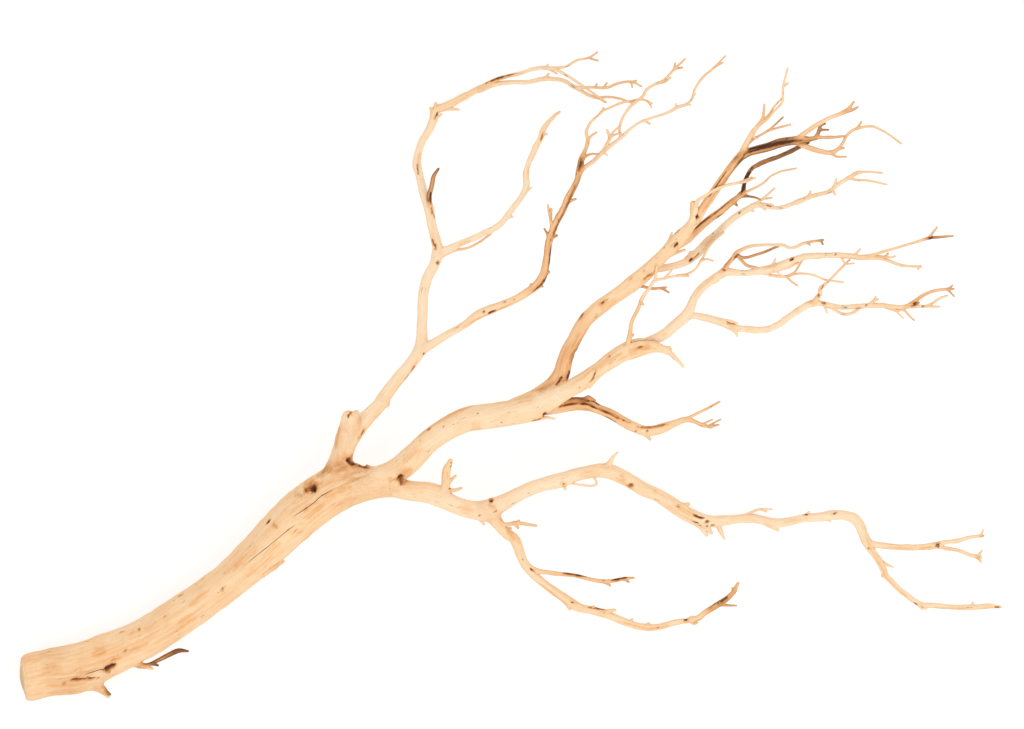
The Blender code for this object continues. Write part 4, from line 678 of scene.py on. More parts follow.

# limb: (kind, width, points in plan). A mark lies on the upper face of its limb. One point makes a round
# mark, and more make one that runs along them. A few brown marks and pits are painted shade in crotches.
MARKS = {
    "trunk": [
        ("slit", 2.8, (-396, -274.2), (-390, -273.7), (-382.8, -273.2), (-374, -272.2)),
        ("slit", 1.5, (-384, -273.2), (-375, -272.4), (-366, -270.8)),
        ("brown", 2.6, (-404, -278.4), (-399.5, -277)),
        ("ridge", 5, (-392, -272.2), (-376, -269.7), (-359.7, -266.6)),
        ("ridge", 3, (-371, -268.2), (-359.5, -266.2)),
        ("crack", 0.5, (-384, -269.6), (-376, -267.4), (-371, -265.8), (-362, -264.6)),
        ("slit", 6.4, (-365.5, -266), (-360.5, -263.4), (-355, -260.4)),
        ("brown", 9, (-366, -266), (-355, -260)), ("knot", 2, (-362, -267)),
        ("knot", 1.6, (-387.2, -266.5)), ("pit", 2.8, (-347.4, -247.8)),
        ("stain", 11, (-376, -252), (-363, -246)), ("stain", 8, (-360, -257), (-350, -253)),
        ("slit", 2.2, (-336, -229.4), (-332.6, -227.3)), ("groove", 1.4, (-345.5, -234.6), (-336, -229.2)),
        ("brown", 1.6, (-337, -237), (-331.5, -234)), ("brown", 2.2, (-300, -200), (-294.5, -196.4)),
        ("knot", 2.8, (-259.5, -191.6)), ("brown", 2.4, (-262, -193.5), (-256, -188.6)),
        ("brown", 1.4, (-249, -165.7)), ("knot", 1.6, (-312, -216.5)),
        ("stain", 10, (-300, -224), (-284, -214)), ("stain", 9, (-342, -248), (-326, -240)),
        ("stain", 8, (-290, -208), (-272, -194)), ("stain", 8, (-250, -176), (-226, -152)),
        ("stain", 13, (-236, -180), (-214, -158)), ("stain", 10, (-186, -128), (-168, -116)),
        ("stain", 8, (-222, -160), (-206, -150)),
        ("crack", 0.55, (-240, -171), (-222, -156.6), (-206.7, -144), (-200.9, -139.1), (-190.6, -131.5)),
        ("crack", 0.75, (-197, -128), (-184.3, -119.6), (-177, -114.4),
         (-170.8, -108.5), (-165.4, -105.4), (-157, -101)),
        ("crack", 0.28, (-160, -102.6), (-146.5, -96.4), (-130, -89.5), (-118, -86.5)),
        ("brown", 1.6, (-203, -140.6), (-199.4, -138)), ("brown", 1.4, (-186, -120.6), (-183, -118.9)),
        ("ridge", 5, (-158, -99), (-146, -92.5), (-130, -87)),
        ("slit", 6.5, (-178.4, -98), (-176.4, -104)), ("pit", 7, (-178.4, -101.2)),
        ("brown", 17, (-185, -103), (-173, -97)), ("knot", 4.6, (-183.2, -103.4)),
        ("brown", 5, (-183.4, -103)), ("brown", 1.8, (-185, -106.3), (-182, -106), (-179.3, -102)),
        ("ridge", 12, (-192, -104), (-172, -93)), ("brown", 2, (-184.3, -110.5)),
        ("slit", 3, (-221, -133.4), (-216.5, -128.6)), ("brown", 5, (-214, -133), (-210, -137)),
        ("slit", 1, (-211.4, -136.5), (-209.6, -139.3)),
        ("brown", 1.7, (-199.4, -143.4), (-194, -139), (-189.6, -136.8)),
        ("brown", 1.4, (-188.2, -138), (-188.2, -140.5), (-192.6, -141.8)),
        ("knot", 1.8, (-198.8, -142.8)), ("groove", 2, (-226, -181), (-211.5, -171), (-204.5, -164.5)),
        ("ridge", 4.5, (-222, -182), (-208, -172.5), (-202.5, -167)),
        # Painted shade: the brown marks and the pit down to the next three lines darken the crotch at the
        # left limb's foot.
        ("brown", 17, (-170, -86), (-156, -79), (-142, -77)),
        ("brown", 13, (-147, -78), (-136, -81), (-125, -84)), ("brown", 9, (-150, -80), (-141, -78)),
        ("pit", 7, (-146, -77), (-139, -78.5)), ("slit", 3, (-138, -80), (-127, -83.4)),
        ("stain", 12, (-158, -88), (-138, -86)), ("brown", 9, (-160, -86), (-148, -82)),
        ("stain", 10, (-170, -108), (-140, -100)), ("ridge", 3, (-130, -80.5), (-125.5, -83)),
        ("stain", 11, (-420, -262), (-404, -266))],
    "left_limb": [
        # Painted shade: the wide brown mark where the limb leaves the trunk.
        ("slit", 6, (-148, -77), (-142, -75.4)), ("brown", 17, (-160, -82), (-143, -72)),
        ("brown", 4, (-138.5, -58), (-134, -52), (-131, -46)),
        ("fleck", 1.6, (-134.5, -53), (-132, -48.5)), ("stain", 6, (-137, -60), (-131, -48)),
        ("knot", 3.6, (-109, -29), (-107, -25)), ("fleck", 2, (-77.5, 21), (-79, 18)),
        ("bark", 1.8, (-89, 5), (-86, 9)), ("fleck", 1.6, (-96, -5), (-92, 0)),
        ("fleck", 2.4, (-71, 124), (-68, 115)), ("fleck", 1.8, (-68, 103)), ("pit", 4.4, (-65.5, 101.6)),
        ("bark", 3, (-70.6, 143), (-71.6, 152)), ("slit", 1.8, (-83.4, 180), (-84, 192)),
        ("fleck", 2, (-81, 176)), ("bark", 2.6, (-67.8, 112), (-67.2, 119)),
        ("brown", 2, (-105, -16), (-92, 0), (-84, 14)), ("groove", 1.6, (-77, 60), (-76.5, 82)),
        ("bark", 2.2, (-69.5, 230), (-66, 236)), ("fleck", 1.8, (-67, 233), (-66, 238)),
        ("stain", 4, (-84, 188), (-82, 202))],
    "hook_twig_upper": [("bark", 2.6, (-22, 263.5), (-10, 268), (4, 271.5))],
    "broken_leader": [
        ("bark", 2.6, (-148.5, -38), (-145, -35), (-142, -31.5)),
        ("slit", 1.6, (-147, -38), (-145, -34.5)),
        ("groove", 3, (-155, -64), (-151.5, -48), (-147.5, -40)), ("brown", 6, (-157.5, -66), (-154, -44))],
    "side_limb": [
        ("fleck", 1.6, (-22, 129)), ("knot", 2.4, (14, 168)), ("stain", 3, (15, 176), (16, 190)),
        ("bark", 1.8, (27, 210), (29.5, 222)), ("stain", 3, (-50, 116), (-36, 122))],
    "brown_limb": [
        ("knot", 3.2, (-5.5, 66)), ("knot", 3, (2.5, 68.5)), ("knot", 3.4, (-24, 57.5)),
        ("slit", 2.6, (-21, 56), (-13, 58.5)), ("bark", 2.2, (18, 74), (27.5, 82), (34, 92), (36.5, 118)),
        ("brown", 2, (-50, 39), (-34, 49), (-18, 56), (4, 66)), ("brown", 6, (61.5, 183), (63.5, 196)),
        ("slit", 3.4, (61.8, 186.5), (63.4, 193)), ("fleck", 2, (70, 209)), ("fleck", 2, (71, 214)),
        ("stain", 4, (-60, 37), (-44, 46)), ("brown", 3, (36, 122), (50, 152), (60, 176)),
        ("fleck", 1.8, (43, 140)), ("fleck", 1.8, (52, 162)), ("fleck", 1.6, (57, 172))],
    "middle_limb": [
        # Partly painted shade: the brown round the crotch pit is painted shade, and the pit's dark is partly
        # its own colour, partly painted shade.
        ("pit", 11, (-101, -94), (-95.5, -92.5)), ("brown", 15, (-104, -93), (-88, -85)),
        ("brown", 6, (-112, -93.5), (-100, -94)), ("stain", 10, (-36, -48), (-26, -47)),
        ("bark", 2.2, (18, -41.5), (24, -39.5), (31, -38)), ("pit", 5, (31, -35.4)),
        ("ridge", 5, (77, 6), (75, -3), (70, -10)),
        ("slit", 1.5, (70, -6.4), (74.2, -2), (76, 3), (81, 6.4)),
        ("brown", 2.4, (76, 6), (88, 17), (99, 24)),
        ("brown", 7, (105, 21.5), (113, 25.4), (122, 26.4), (130, 24)),
        ("brown", 3.4, (109, 24), (117, 27), (126, 27.4)), ("slit", 2, (113.5, 24.6), (119, 26)),
        ("brown", 2, (70, -2), (84, 9), (98, 14), (110, 19)), ("stain", 11, (106, 19), (124, 24)),
        ("brown", 4, (76, 5), (88, 14), (103, 21)), ("groove", 2.4, (94, 11), (108, 20), (126, 29)),
        ("knot", 3.6, (89.5, 17.5)), ("ridge", 3.4, (88, 13), (98, 18)),
        ("crack", 0.5, (104, 28.5), (112, 31), (122, 32.5), (131, 31)), ("fleck", 2, (-82, -58)),
        ("stain", 9, (-98, -80), (-80, -66)), ("brown", 5, (-92, -62), (-74, -47), (-50, -33), (-34, -27)),
        ("fleck", 1.8, (-76, -50), (-72, -47.5)), ("fleck", 1.7, (-60, -46)), ("fleck", 1.6, (-30, -34)),
        ("fleck", 1.8, (-8, -42)), ("bark", 3, (41, -9), (47, 0)), ("bark", 2.6, (50, -5), (53, 5)),
        # Painted shade: the wide brown mark along the rising limb's foot.
        ("brown", 10, (20, -13), (34, -8), (45, 0)), ("fleck", 1.8, (62, -11)),
        ("groove", 1.8, (52, -9), (66, -1), (76, 9)), ("stain", 8, (6, -24), (22, -18))],
    "far_limb": [
        ("stain", 4, (136, 36.5), (141, 38)), ("bump", 4, (183, 83.5), (187, 85.5)),
        ("bark", 2.6, (190.6, 96.6), (193, 94)), ("brown", 2, (163, 68), (172, 80), (184, 90)),
        ("knot", 2.8, (209.5, 92)), ("pit", 3.4, (251, 104.4), (256, 105)), ("knot", 2.6, (293, 109.5)),
        ("pit", 3, (343, 107)), ("brown", 2, (264, 104.6), (300, 105.6), (326, 103.4)),
        ("fleck", 1.6, (160, 62)), ("stain", 4, (228, 96), (240, 99)),
        ("groove", 1.6, (146, 45), (154, 52)), ("fleck", 1.6, (233, 96))],
    "knob_twig": [("pit", 3.4, (277, 72)), ("bark", 2, (279, 77), (282, 82))],
    "near_limb": [
        # Painted shade: the brown mark at the knob twig's foot.
        ("stain", 4, (255, 57.5), (259, 60)), ("brown", 3, (266, 66), (274, 69)),
        ("fleck", 1.8, (196, 47)), ("bark", 3.6, (194, 48.6), (203, 46.6)), ("pit", 3, (371, 62.6)),
        ("bark", 2.4, (329, 65.6), (331, 68)), ("pit", 2.6, (320, 63.6)),
        ("brown", 2, (278, 61.6), (310, 60), (346, 60)), ("stain", 4, (268, 65), (276, 66)),
        ("fleck", 1.5, (232, 43)), ("fleck", 1.5, (312, 63))],
    "lower_hook": [
        ("brown", 8, (34, -26), (46, -22), (58, -20), (72, -23)),
        ("bark", 3, (40, -23.4), (52, -20.4), (62, -19.6)),
        ("bark", 2, (64, -20.6), (74, -23.4), (82, -27.8)),
        ("brown", 2.6, (76, -26.5), (92, -34), (108, -43.6)), ("bark", 1.6, (84, -36), (96, -43)),
        ("slit", 1.7, (40, -29), (51, -26), (62, -24.5), (80, -30), (95, -38), (108, -42)),
        ("bark", 2.6, (114, -46), (126, -46.6), (143, -43)), ("brown", 4, (112, -48), (142, -44)),
        ("knot", 3, (113, -50)), ("knot", 3.4, (123, -50)), ("stain", 5, (68, -29)),
        ("stain", 5, (84.5, -35.5)), ("bark", 3, (24, -26), (36, -27))],
    "rising_limb": [
        ("bark", 3, (41, -9), (47, 0)), ("bark", 2.6, (50, -5), (53, 5)),
        ("bark", 2, (61.5, 49.5), (66, 57)), ("slit", 2.4, (80.8, 63.6), (84.6, 66.9)),
        ("brown", 5, (79, 62.5), (86.5, 68.5)), ("brown", 5, (53, 10), (62, 27), (75, 49)),
        ("groove", 2.4, (117, 83.5), (129, 93.5)), ("bark", 2.6, (119, 85.5), (128, 92.5)),
        ("knot", 3.2, (120.5, 93.5)), ("knot", 2.8, (132, 106.5)), ("fleck", 2, (138, 115)),
        ("pit", 4, (147.6, 115.6), (150.4, 119)), ("bark", 1.6, (151, 111), (156, 113)),
        ("brown", 3.4, (190, 171), (202, 187), (210, 198)),
        ("bark", 2, (208, 198), (226, 205), (244, 209.4), (262, 212)),
        ("bark", 1.2, (214, 203.6), (232, 208.4), (250, 213.6)),
        ("brown", 4, (170, 144), (183, 163), (198, 184)),
        ("bark", 1.2, (178, 160), (190, 178), (202, 192)), ("stain", 6, (80, 58), (96, 70)),
        ("groove", 1.8, (50, 8), (56, 26), (66, 44)), ("pit", 5.4, (167.4, 140.6), (168.4, 145)),
        ("fleck", 1.8, (178, 158)), ("bark", 2, (147, 127), (153, 133)),
        ("bark", 1.6, (104, 82), (110, 89))],
    "dark_limb": [
        ("bark", 1.4, (158, 126), (170, 136), (184, 146), (200, 159)),
        ("bark", 3.6, (208, 163), (211, 176), (217, 187))],
    "pale_limb": [
        ("pit", 4.4, (160.6, 102), (164, 105.6)), ("bark", 2.2, (161, 101), (170, 111)),
        ("slit", 1.6, (230, 153.4), (236, 152)), ("fleck", 1.6, (182, 128)),
        ("stain", 4, (170, 115), (184, 127)), ("fleck", 1.5, (264, 159)), ("knot", 2.4, (206, 146.5))],
    "crossing_twig": [("pit", 4, (168, 142.4)), ("stain", 2, (166, 150), (170, 160))],
    "brown_twig": [("bark", 3, (200, 104), (206, 110)), ("brown", 2, (190, 95), (200, 108))],
    "bark_twig": [("bark", 2, (112, 81), (120, 80))],
    "right_limb": [
        # Partly painted shade: the brown round the crotch pit is painted shade, and the pit's dark is partly
        # its own colour, partly painted shade.
        ("pit", 10, (-101, -94), (-95.5, -93)), ("brown", 9, (-110, -94), (-90, -93)),
        ("pit", 5, (-54, -103), (-50, -105)), ("knot", 5.5, (-17.5, -113)),
        ("brown", 6, (-20, -116), (-12, -121)), ("brown", 1.5, (-14, -112), (-10, -121)),
        ("slit", 2.4, (264, -124.2), (267, -125)), ("slit", 3, (291, -124)),
        ("slit", 2, (321, -154), (322.5, -157)), ("brown", 4, (329, -168), (333, -169)),
        ("brown", 3, (262, -129.4), (269, -128.6)), ("slit", 3, (362, -205), (366, -207)),
        ("brown", 2, (380, -209), (414, -210)), ("slit", 1.6, (435, -208), (440, -208.5)),
        ("brown", 2, (334, -177), (346, -190), (359, -200)), ("fleck", 2.4, (82, -80.5)),
        ("brown", 5, (98, -88), (103, -96)), ("slit", 1.6, (44, -93.5), (48, -92.5)),
        ("brown", 6, (45, -96), (50, -99)), ("brown", 4, (93, -91), (103, -97), (112, -103)),
        ("bark", 2.6, (-15, -123), (-11, -121.5)), ("fleck", 2, (-28, -126)), ("fleck", 2.2, (-24, -132)),
        ("slit", 2.4, (-10, -129), (-6, -135)), ("pit", 4.4, (-9, -138)),
        ("brown", 13, (-20, -130), (-6, -136)), ("bark", 3.6, (47, -96), (49, -100)),
        ("knot", 6, (108, -98.6)), ("pit", 3, (108, -98.6)), ("stain", 5, (130, -104)),
        ("groove", 1.8, (101, -97), (103, -101)),
        ("groove", 2.6, (140, -117), (150, -123), (165, -133), (175, -138)),
        ("slit", 1.3, (164, -125), (177, -130)), ("pit", 5, (177, -131.5)), ("bark", 4.6, (182, -134.5)),
        ("slit", 2, (160, -128), (172, -136)), ("fleck", 2.4, (178, -133)), ("fleck", 2.4, (176.5, -136)),
        ("fleck", 2, (214, -124.5)), ("fleck", 2, (267, -125.5)), ("fleck", 2, (294, -123)),
        ("stain", 3, (280, -129)), ("stain", 3, (336, -168)), ("fleck", 2, (370, -208.5)),
        ("fleck", 2, (327, -155)), ("stain", 9, (-48, -118), (-34, -121)),
        ("stain", 7, (60, -90), (84, -87)), ("stain", 7, (146, -116), (168, -127)),
        ("groove", 1.8, (112, -95), (128, -103), (142, -111)), ("fleck", 1.8, (-79, -104)),
        ("stain", 5, (246, -132), (264, -129)), ("brown", 3, (318, -142), (326, -160), (340, -183))],
    "right_fork": [
        ("brown", 3, (366, -156), (379, -154)), ("pit", 5.5, (382, -153), (385.5, -151)),
        ("bark", 1.8, (384, -156), (387, -149)), ("fleck", 1.7, (350, -154)),
        ("brown", 1.8, (330, -154.6), (372, -156.6))],
    "right_fork_lower": [
        ("brown", 1.6, (388, -155), (404, -158.2)), ("brown", 3, (419, -163), (423, -164))],
    "far_twig": [("bark", 2.6, (375, 123.6), (380, 124.6))],
    "dark_spur": [("bark", 2.4, (-73, 154), (-72, 166))],
    "near_twig": [("bark", 2.4, (362, 64), (366, 66))],
    "low_limb": [
        ("slit", 2, (17, -173), (22, -177)), ("stain", 4, (7, -149)), ("stain", 4, (55.5, -208)),
        ("fleck", 2, (59, -205)), ("bark", 3.4, (70, -208.6), (82, -210.2), (93, -211)),
        ("fleck", 2, (84, -214)), ("fleck", 2, (133, -227)), ("pit", 4.4, (155.5, -219.6), (160, -219)),
        ("brown", 2, (172, -214), (186, -204), (200, -193)), ("bark", 1.8, (184, -206), (196, -199)),
        ("brown", 2, (22, -184), (40, -198), (54, -208)), ("pit", 3.4, (56, -203.6)),
        ("brown", 2.4, (96, -221), (124, -228), (148, -224)), ("brown", 7, (-4, -137), (4, -150)),
        ("fleck", 1.7, (11, -166))],
    "low_limb_twig": [
        ("bark", 2.4, (45, -177.5), (56, -179), (68, -181)), ("fleck", 1.8, (84, -184)),
        ("bark", 2.6, (90, -184.6), (106, -181.5))],
    "upright_stub": [
        ("bark", 2.6, (-54.5, -83), (-53, -77)), ("stain", 4, (-57, -94), (-56.5, -86)),
        ("bark", 3, (-55, -102))],
}

# How each kind of mark changes the wood at its middle: height in shares of its width, then how dark,
# how orange and how brown it is, and how ragged its edge.
KINDS = {
    "crack": (-0.6, 0, 0.1, 0.1, 0), "slit": (-0.45, 1, 0, 0.4, 0.1), "pit": (-0.4, 1, 0, 0.5, 0.15),
    "groove": (-0.3, 0, 0.2, 0.25, 0.2), "ridge": (0.35, 0, 0, 0, 0), "bump": (0.35, 0, 0, 0, 0),
    "knot": (0.2, 0, 0.6, 0.35, 0.1), "bark": (0.05, 0.62, 0.1, 0.7, 0.5), "brown": (0, 0, 0.1, 0.45, 0.4),
    "stain": (0, 0, 1, 0, 0.6), "fleck": (-0.12, 0.9, 0.1, 0.4, 0.2),
}


def flowing_line(stations):
    """The smooth line through a limb's stations: cubic pieces whose slopes at each station are the
    slope of its neighbours, read at rings that lie closer together where the limb is thin."""
    table = np.array(stations, float)
    along = np.concatenate(([0], np.cumsum(np.linalg.norm(np.diff(table[:, :3], axis=0), axis=1))))
    slope = np.gradient(table, along, axis=0)
    place = np.linspace(0, along[-1], int(along[-1] / READING_GAP) + 8)
    piece = np.clip(np.searchsorted(along, place, side="right") - 1, 0, len(along) - 2)
    length = (along[piece + 1] - along[piece])[:, None]
    f = (place - along[piece])[:, None] / length
    line = ((2 * f**3 - 3 * f**2 + 1) * table[piece] + (f**3 - 2 * f**2 + f) * length * slope[piece]
            + (3 * f**2 - 2 * f**3) * table[piece + 1] + (f**3 - f**2) * length * slope[piece + 1])
    steps = np.linalg.norm(np.diff(line[:, :3], axis=0), axis=1)
    gap = np.clip(RING_GAP + RING_GAP_SHARE * line[:, 3], *RING_GAP_LIMITS)
    rings = np.concatenate(([0], np.cumsum(steps / gap[1:])))
    wanted = np.linspace(0, rings[-1], max(int(rings[-1]) + 1, 4))
    return np.stack([np.interp(wanted, rings, line[:, axis]) for axis in range(4)], axis=1)


def unit(vectors):
    """Each vector over its own length."""
    return vectors / np.maximum(np.linalg.norm(vectors, axis=-1, keepdims=True), 1e-9)


def make_limb(name, parent, stations):
    """A limb's centreline with its radius, its distance u from the trunk's sawn end, and at each ring the
    directions along it, to its side (level) and up from it."""
    line = flowing_line(stations)
    centre, radius = line[:, :3], (line[:, 3] + (GIRTH if parent else 0)) / 2
    along = unit(np.gradient(centre, axis=0))
    side = unit(np.cross(along, [0, 0, 1]))
    up = np.cross(side, along)
    start = 0.0
    if parent is not None:
        start = parent.u[np.argmin(np.linalg.norm(parent.centre - centre[0], axis=1))]
    u = start + np.concatenate(([0], np.cumsum(np.linalg.norm(np.diff(centre, axis=0), axis=1))))
    return SimpleNamespace(name=name, parent=parent, tone=None, centre=centre, radius=radius, along=along,
                           side=side, up=up, u=u)


def grow_limbs():
    """All the limbs, from the trunk outwards. A small twig starts at the height of its parent's middle,
    and its height is that + rise times the distance run in plan."""
    limbs = {}
    for name, (parent, stations) in LIMBS.items():
        limbs[name] = make_limb(name, limbs.get(parent), stations)
    last = None
    for number, (parent, rise, points, *tone) in enumerate(SMALL_TWIGS):
        holder = last if parent == "last" else limbs[parent]
        plan = np.array(points, float)
        nearest = np.argmin(np.linalg.norm(holder.centre[:, :2] - plan[0, :2], axis=1))
        run = np.concatenate(([0], np.cumsum(np.linalg.norm(np.diff(plan[:, :2], axis=0), axis=1))))
        z = holder.centre[nearest, 2] + rise * run
        last = make_limb(f"small_twig_{number}", holder, np.column_stack([plan[:, :2], z, plan[:, 2]]))
        last.tone = tone[0] if tone else None
        limbs[last.name] = last
    return limbs


def end_rings(limb):
    """The rings before a limb's first full ring: their shares of its radius, and how far back each one
    lies. A round end is cos and sin of ROUND_END. The sawn end is a face that swells by SAWN_SWELL -
    SAWN_FALL s^2 at share s, and a quarter turn round the worn edge."""
    if limb.name != "trunk":
        turn = np.array(ROUND_END) * math.pi / 180
        return np.cos(turn), np.sin(turn) * limb.radius[0]
    face, bend = np.array(SAWN_FACE), np.radians(SAWN_BEND)
    shares = np.concatenate([face, 1 - SAWN_EDGE / limb.radius[0] * (1 - np.cos(bend))])
    return shares, SAWN_EDGE * np.concatenate([SAWN_SWELL - SAWN_FALL * face**2, np.sin(bend)])


def ring_faces(starts, sides):
    """Two triangles for each side between rings of as many sides, or three for each side of the later ring
    where it has half as many, and a fan over each end."""
    faces = []
    for i in range(len(sides) - 1):
        a, b, n, m = starts[i], starts[i + 1], sides[i], sides[i + 1]
        j = np.arange(m)
        following = (j + 1) % m
        if n == m:
            faces += [np.stack([a + j, b + j, b + following], 1),
                      np.stack([a + j, b + following, a + following], 1)]
        else:
            even, odd, last = a + 2 * j, a + 2 * j + 1, a + (2 * j + 2) % n
            faces += [np.stack([even, b + j, odd], 1), np.stack([odd, b + j, b + following], 1),
                      np.stack([odd, b + following, last], 1)]
    j = np.arange(sides[0])
    faces.append(np.stack([np.full(len(j), starts[-1]), j, (j + 1) % sides[0]], 1))
    j = np.arange(sides[-1])
    later = starts[-2] + (j + 1) % sides[-1]
    faces.append(np.stack([np.full(len(j), starts[-1] + 1), later, starts[-2] + j], 1))
    return np.concatenate(faces)


def tube(limb):
    """A limb's closed tube: each ring is its centre + r cos(a) side + r sin(a) up. The number of sides
    halves as the limb gets thinner. The trunk's first end is sawn, with a narrow hole for its pith, and the
    others are round."""
    wanted = np.select([limb.radius > least for least in RING_RADII], RING_SIDES[:-1], RING_SIDES[-1])
    sides = np.minimum.accumulate(wanted)
    turn = np.array(ROUND_END) * math.pi / 180
    ahead, shrink = np.sin(turn), np.cos(turn)
    inner, back = end_rings(limb)
    first, final = limb.radius[0], limb.radius[-1]
    centre = np.concatenate([limb.centre[0] - back[:, None] * limb.along[0] + np.zeros((len(back), 3)),
                             limb.centre, limb.centre[-1] + (ahead[::-1] * final)[:, None] * limb.along[-1]])
    radius = np.concatenate([inner * first, limb.radius, shrink[::-1] * final])
    fore, aft = len(back), len(ahead)
    spread = lambda rows: np.concatenate([np.repeat(rows[:1], fore, 0), rows, np.repeat(rows[-1:], aft, 0)])
    side, up, sides = spread(limb.side), spread(limb.up), spread(sides)
    if limb.name == "trunk":
        lean = np.clip(1 - (np.arange(len(up)) - fore) / SAWN_LEAN_RINGS, 0, 1)[:, None] ** 2
        up, side = up - SAWN_LEAN * lean * spread(limb.along), side - SAWN_TURN * lean * spread(limb.along)
    starts = np.concatenate(([0], np.cumsum(sides)))
    ring = np.repeat(np.arange(len(sides)), sides)
    angle = 2 * math.pi * (np.arange(starts[-1]) - starts[ring]) / sides[ring]
    points = (centre[ring] + radius[ring, None] * (np.cos(angle)[:, None] * side[ring]
                                                   + np.sin(angle)[:, None] * up[ring]))
    tip = limb.centre[-1] + final * limb.along[-1]
    base = limb.centre[0] - (0 if limb.name == "trunk" else first) * limb.along[0]
    return np.concatenate([points, [base, tip]]), ring_faces(starts, sides)


def one_skin(limbs):
    """The union of all the tubes, as points in millimetres and triangles."""
    operands = bpy.data.collections.new("limbs")
    bpy.context.scene.collection.children.link(operands)
    tubes = []
    for limb in limbs.values():
        points, faces = tube(limb)
        mesh = bpy.data.meshes.new(limb.name)
        mesh.from_pydata(points * MILLIMETRE, [], faces.tolist())
        tubes.append(bpy.data.objects.new(limb.name, mesh))
        (operands if len(tubes) > 1 else bpy.context.scene.collection).objects.link(tubes[-1])
    join = tubes[0].modifiers.new("grow_together", "BOOLEAN")
    join.operation = "UNION"
    join.operand_type = "COLLECTION"
    join.collection = operands
    join.solver = "MANIFOLD"
    united = tubes[0].evaluated_get(bpy.context.evaluated_depsgraph_get())
    joined = bpy.data.meshes.new_from_object(united)
    for old in tubes:
        bpy.data.objects.remove(old)
    bpy.data.collections.remove(operands)
    joined.calc_loop_triangles()
    points = np.empty(len(joined.vertices) * 3)
    joined.vertices.foreach_get("co", points)
    faces = np.empty(len(joined.loop_triangles) * 3, np.int32)
    joined.loop_triangles.foreach_get("vertices", faces)
    return points.reshape(-1, 3) / MILLIMETRE, faces.reshape(-1, 3)


def measure(limb, points, reach):
    """Where the points that lie within reach of a limb are, measured from the foot of the shortest line
    to its centreline: their indices, how far outside its skin they are (their distance - the radius), the
    direction away from it, and their place to its side, above it and along it."""
    margin = limb.radius.max() + reach
    low, high = limb.centre.min(0) - margin, limb.centre.max(0) + margin
    index = np.flatnonzero(np.all((points > low) & (points < high), axis=1))
    if not len(index):
        return None
    here = points[index]
    closest = np.concatenate([
        np.argmin((part**2).sum(1)[:, None] - 2 * part @ limb.centre.T + (limb.centre**2).sum(1), axis=1)
        for part in np.array_split(here, len(here) // BATCH + 1)])
    ahead = np.einsum("ij,ij->i", here - limb.centre[closest], limb.along[closest])
    u = np.clip(limb.u[closest] + ahead, limb.u[0], limb.u[-1])
    foot = limb.centre[closest] + (u - limb.u[closest])[:, None] * limb.along[closest]
    away = here - foot
    radius = np.interp(u, limb.u, limb.radius)
    outside = np.linalg.norm(away, axis=1) - radius
    keep = outside < reach
    index, closest, away = index[keep], closest[keep], away[keep]
    return SimpleNamespace(
        index=index, outside=outside[keep], away=unit(away), radius=radius[keep], u=u[keep],
        sideways=np.einsum("ij,ij->i", away, limb.side[closest]),
        upward=np.einsum("ij,ij->i", away, limb.up[closest]))


def weigh(limbs, points):
    """Each limb's hold on the points near it. With d a point's distance outside a limb and k the width of
    the fillet there, a limb's hold is h = 1 - (d - least d) / k, or 0 where that is negative."""
    least = np.full(len(points), np.inf)
    thickness = np.ones(len(points))
    found = {}
    for name, limb in limbs.items():
        seen = measure(limb, points, FILLET_REACH)
        if seen is None or not len(seen.index):
            continue
        found[name] = seen
        nearer = seen.outside < least[seen.index]
        thickness[seen.index[nearer]] = seen.radius[nearer]
        least[seen.index] = np.minimum(least[seen.index], seen.outside)
    for seen in found.values():
        gap = seen.outside - least[seen.index]
        width = np.minimum(FILLET_WIDTH * np.minimum(seen.radius, thickness[seen.index]), WIDEST_FILLET)
        seen.hold = np.clip(1 - gap / width, 0, 1)
        seen.bulge = np.where(gap > 0, seen.hold**2 * width / 4, 0)
    return found, least


def fillet(limbs, points):
    """Moves the skin to the smooth union of the limbs, where F = least d - sum of h^2 k / 4 is 0, with d,
    h and k as in weigh. The sum leaves out the nearest limb."""
    for _ in range(FILLET_STEPS):
        found, least = weigh(limbs, points)
        bulge, away, total = np.zeros(len(points)), np.zeros_like(points), np.zeros(len(points))
        for seen in found.values():
            bulge[seen.index] += seen.bulge
            away[seen.index] += seen.hold[:, None] * seen.away
            total[seen.index] += seen.hold
        near = (total > SHARED) & np.isfinite(least)
        points[near] -= ((least - bulge)[:, None] * unit(away))[near]
    return points


def neighbours(faces, count):
    """Each edge once, as its two vertices, and how many edges meet at each vertex."""
    edges = np.concatenate([faces[:, [0, 1]], faces[:, [1, 2]], faces[:, [2, 0]]])
    edges = np.concatenate([edges, edges[:, ::-1]])
    edges = edges[edges[:, 0] < edges[:, 1]]
    edges = np.unique(edges, axis=0)
    return edges, np.bincount(edges.ravel(), minlength=count)


def average(values, edges, degree):
    """The mean of each vertex's neighbours."""
    total = np.zeros_like(values)
    for column in range(values.shape[1]):
        total[:, column] = (np.bincount(edges[:, 0], values[edges[:, 1], column], len(values))
                            + np.bincount(edges[:, 1], values[edges[:, 0], column], len(values)))
    return total / np.maximum(degree, 1)[:, None]


def relax(points, edges, degree, amount, rounds):
    """Evens the skin where amount is above 0: each vertex goes part of the way to its neighbours' mean and
    then a little further back, so that thin twigs keep their thickness."""
    for _ in range(rounds):
        for step in EVENING_STEPS:
            points = points + step * amount[:, None] * (average(points, edges, degree) - points)
    return points


def normals(points, faces):
    """Each vertex's outward direction: the sum of its faces' normals, weighted by their areas."""
    a, b, c = points[faces[:, 0]], points[faces[:, 1]], points[faces[:, 2]]
    across = np.cross(b - a, c - a)
    total = np.zeros_like(points)
    for axis in range(3):
        for corner in range(3):
            total[:, axis] += np.bincount(faces[:, corner], across[:, axis], len(points))
    return unit(total)


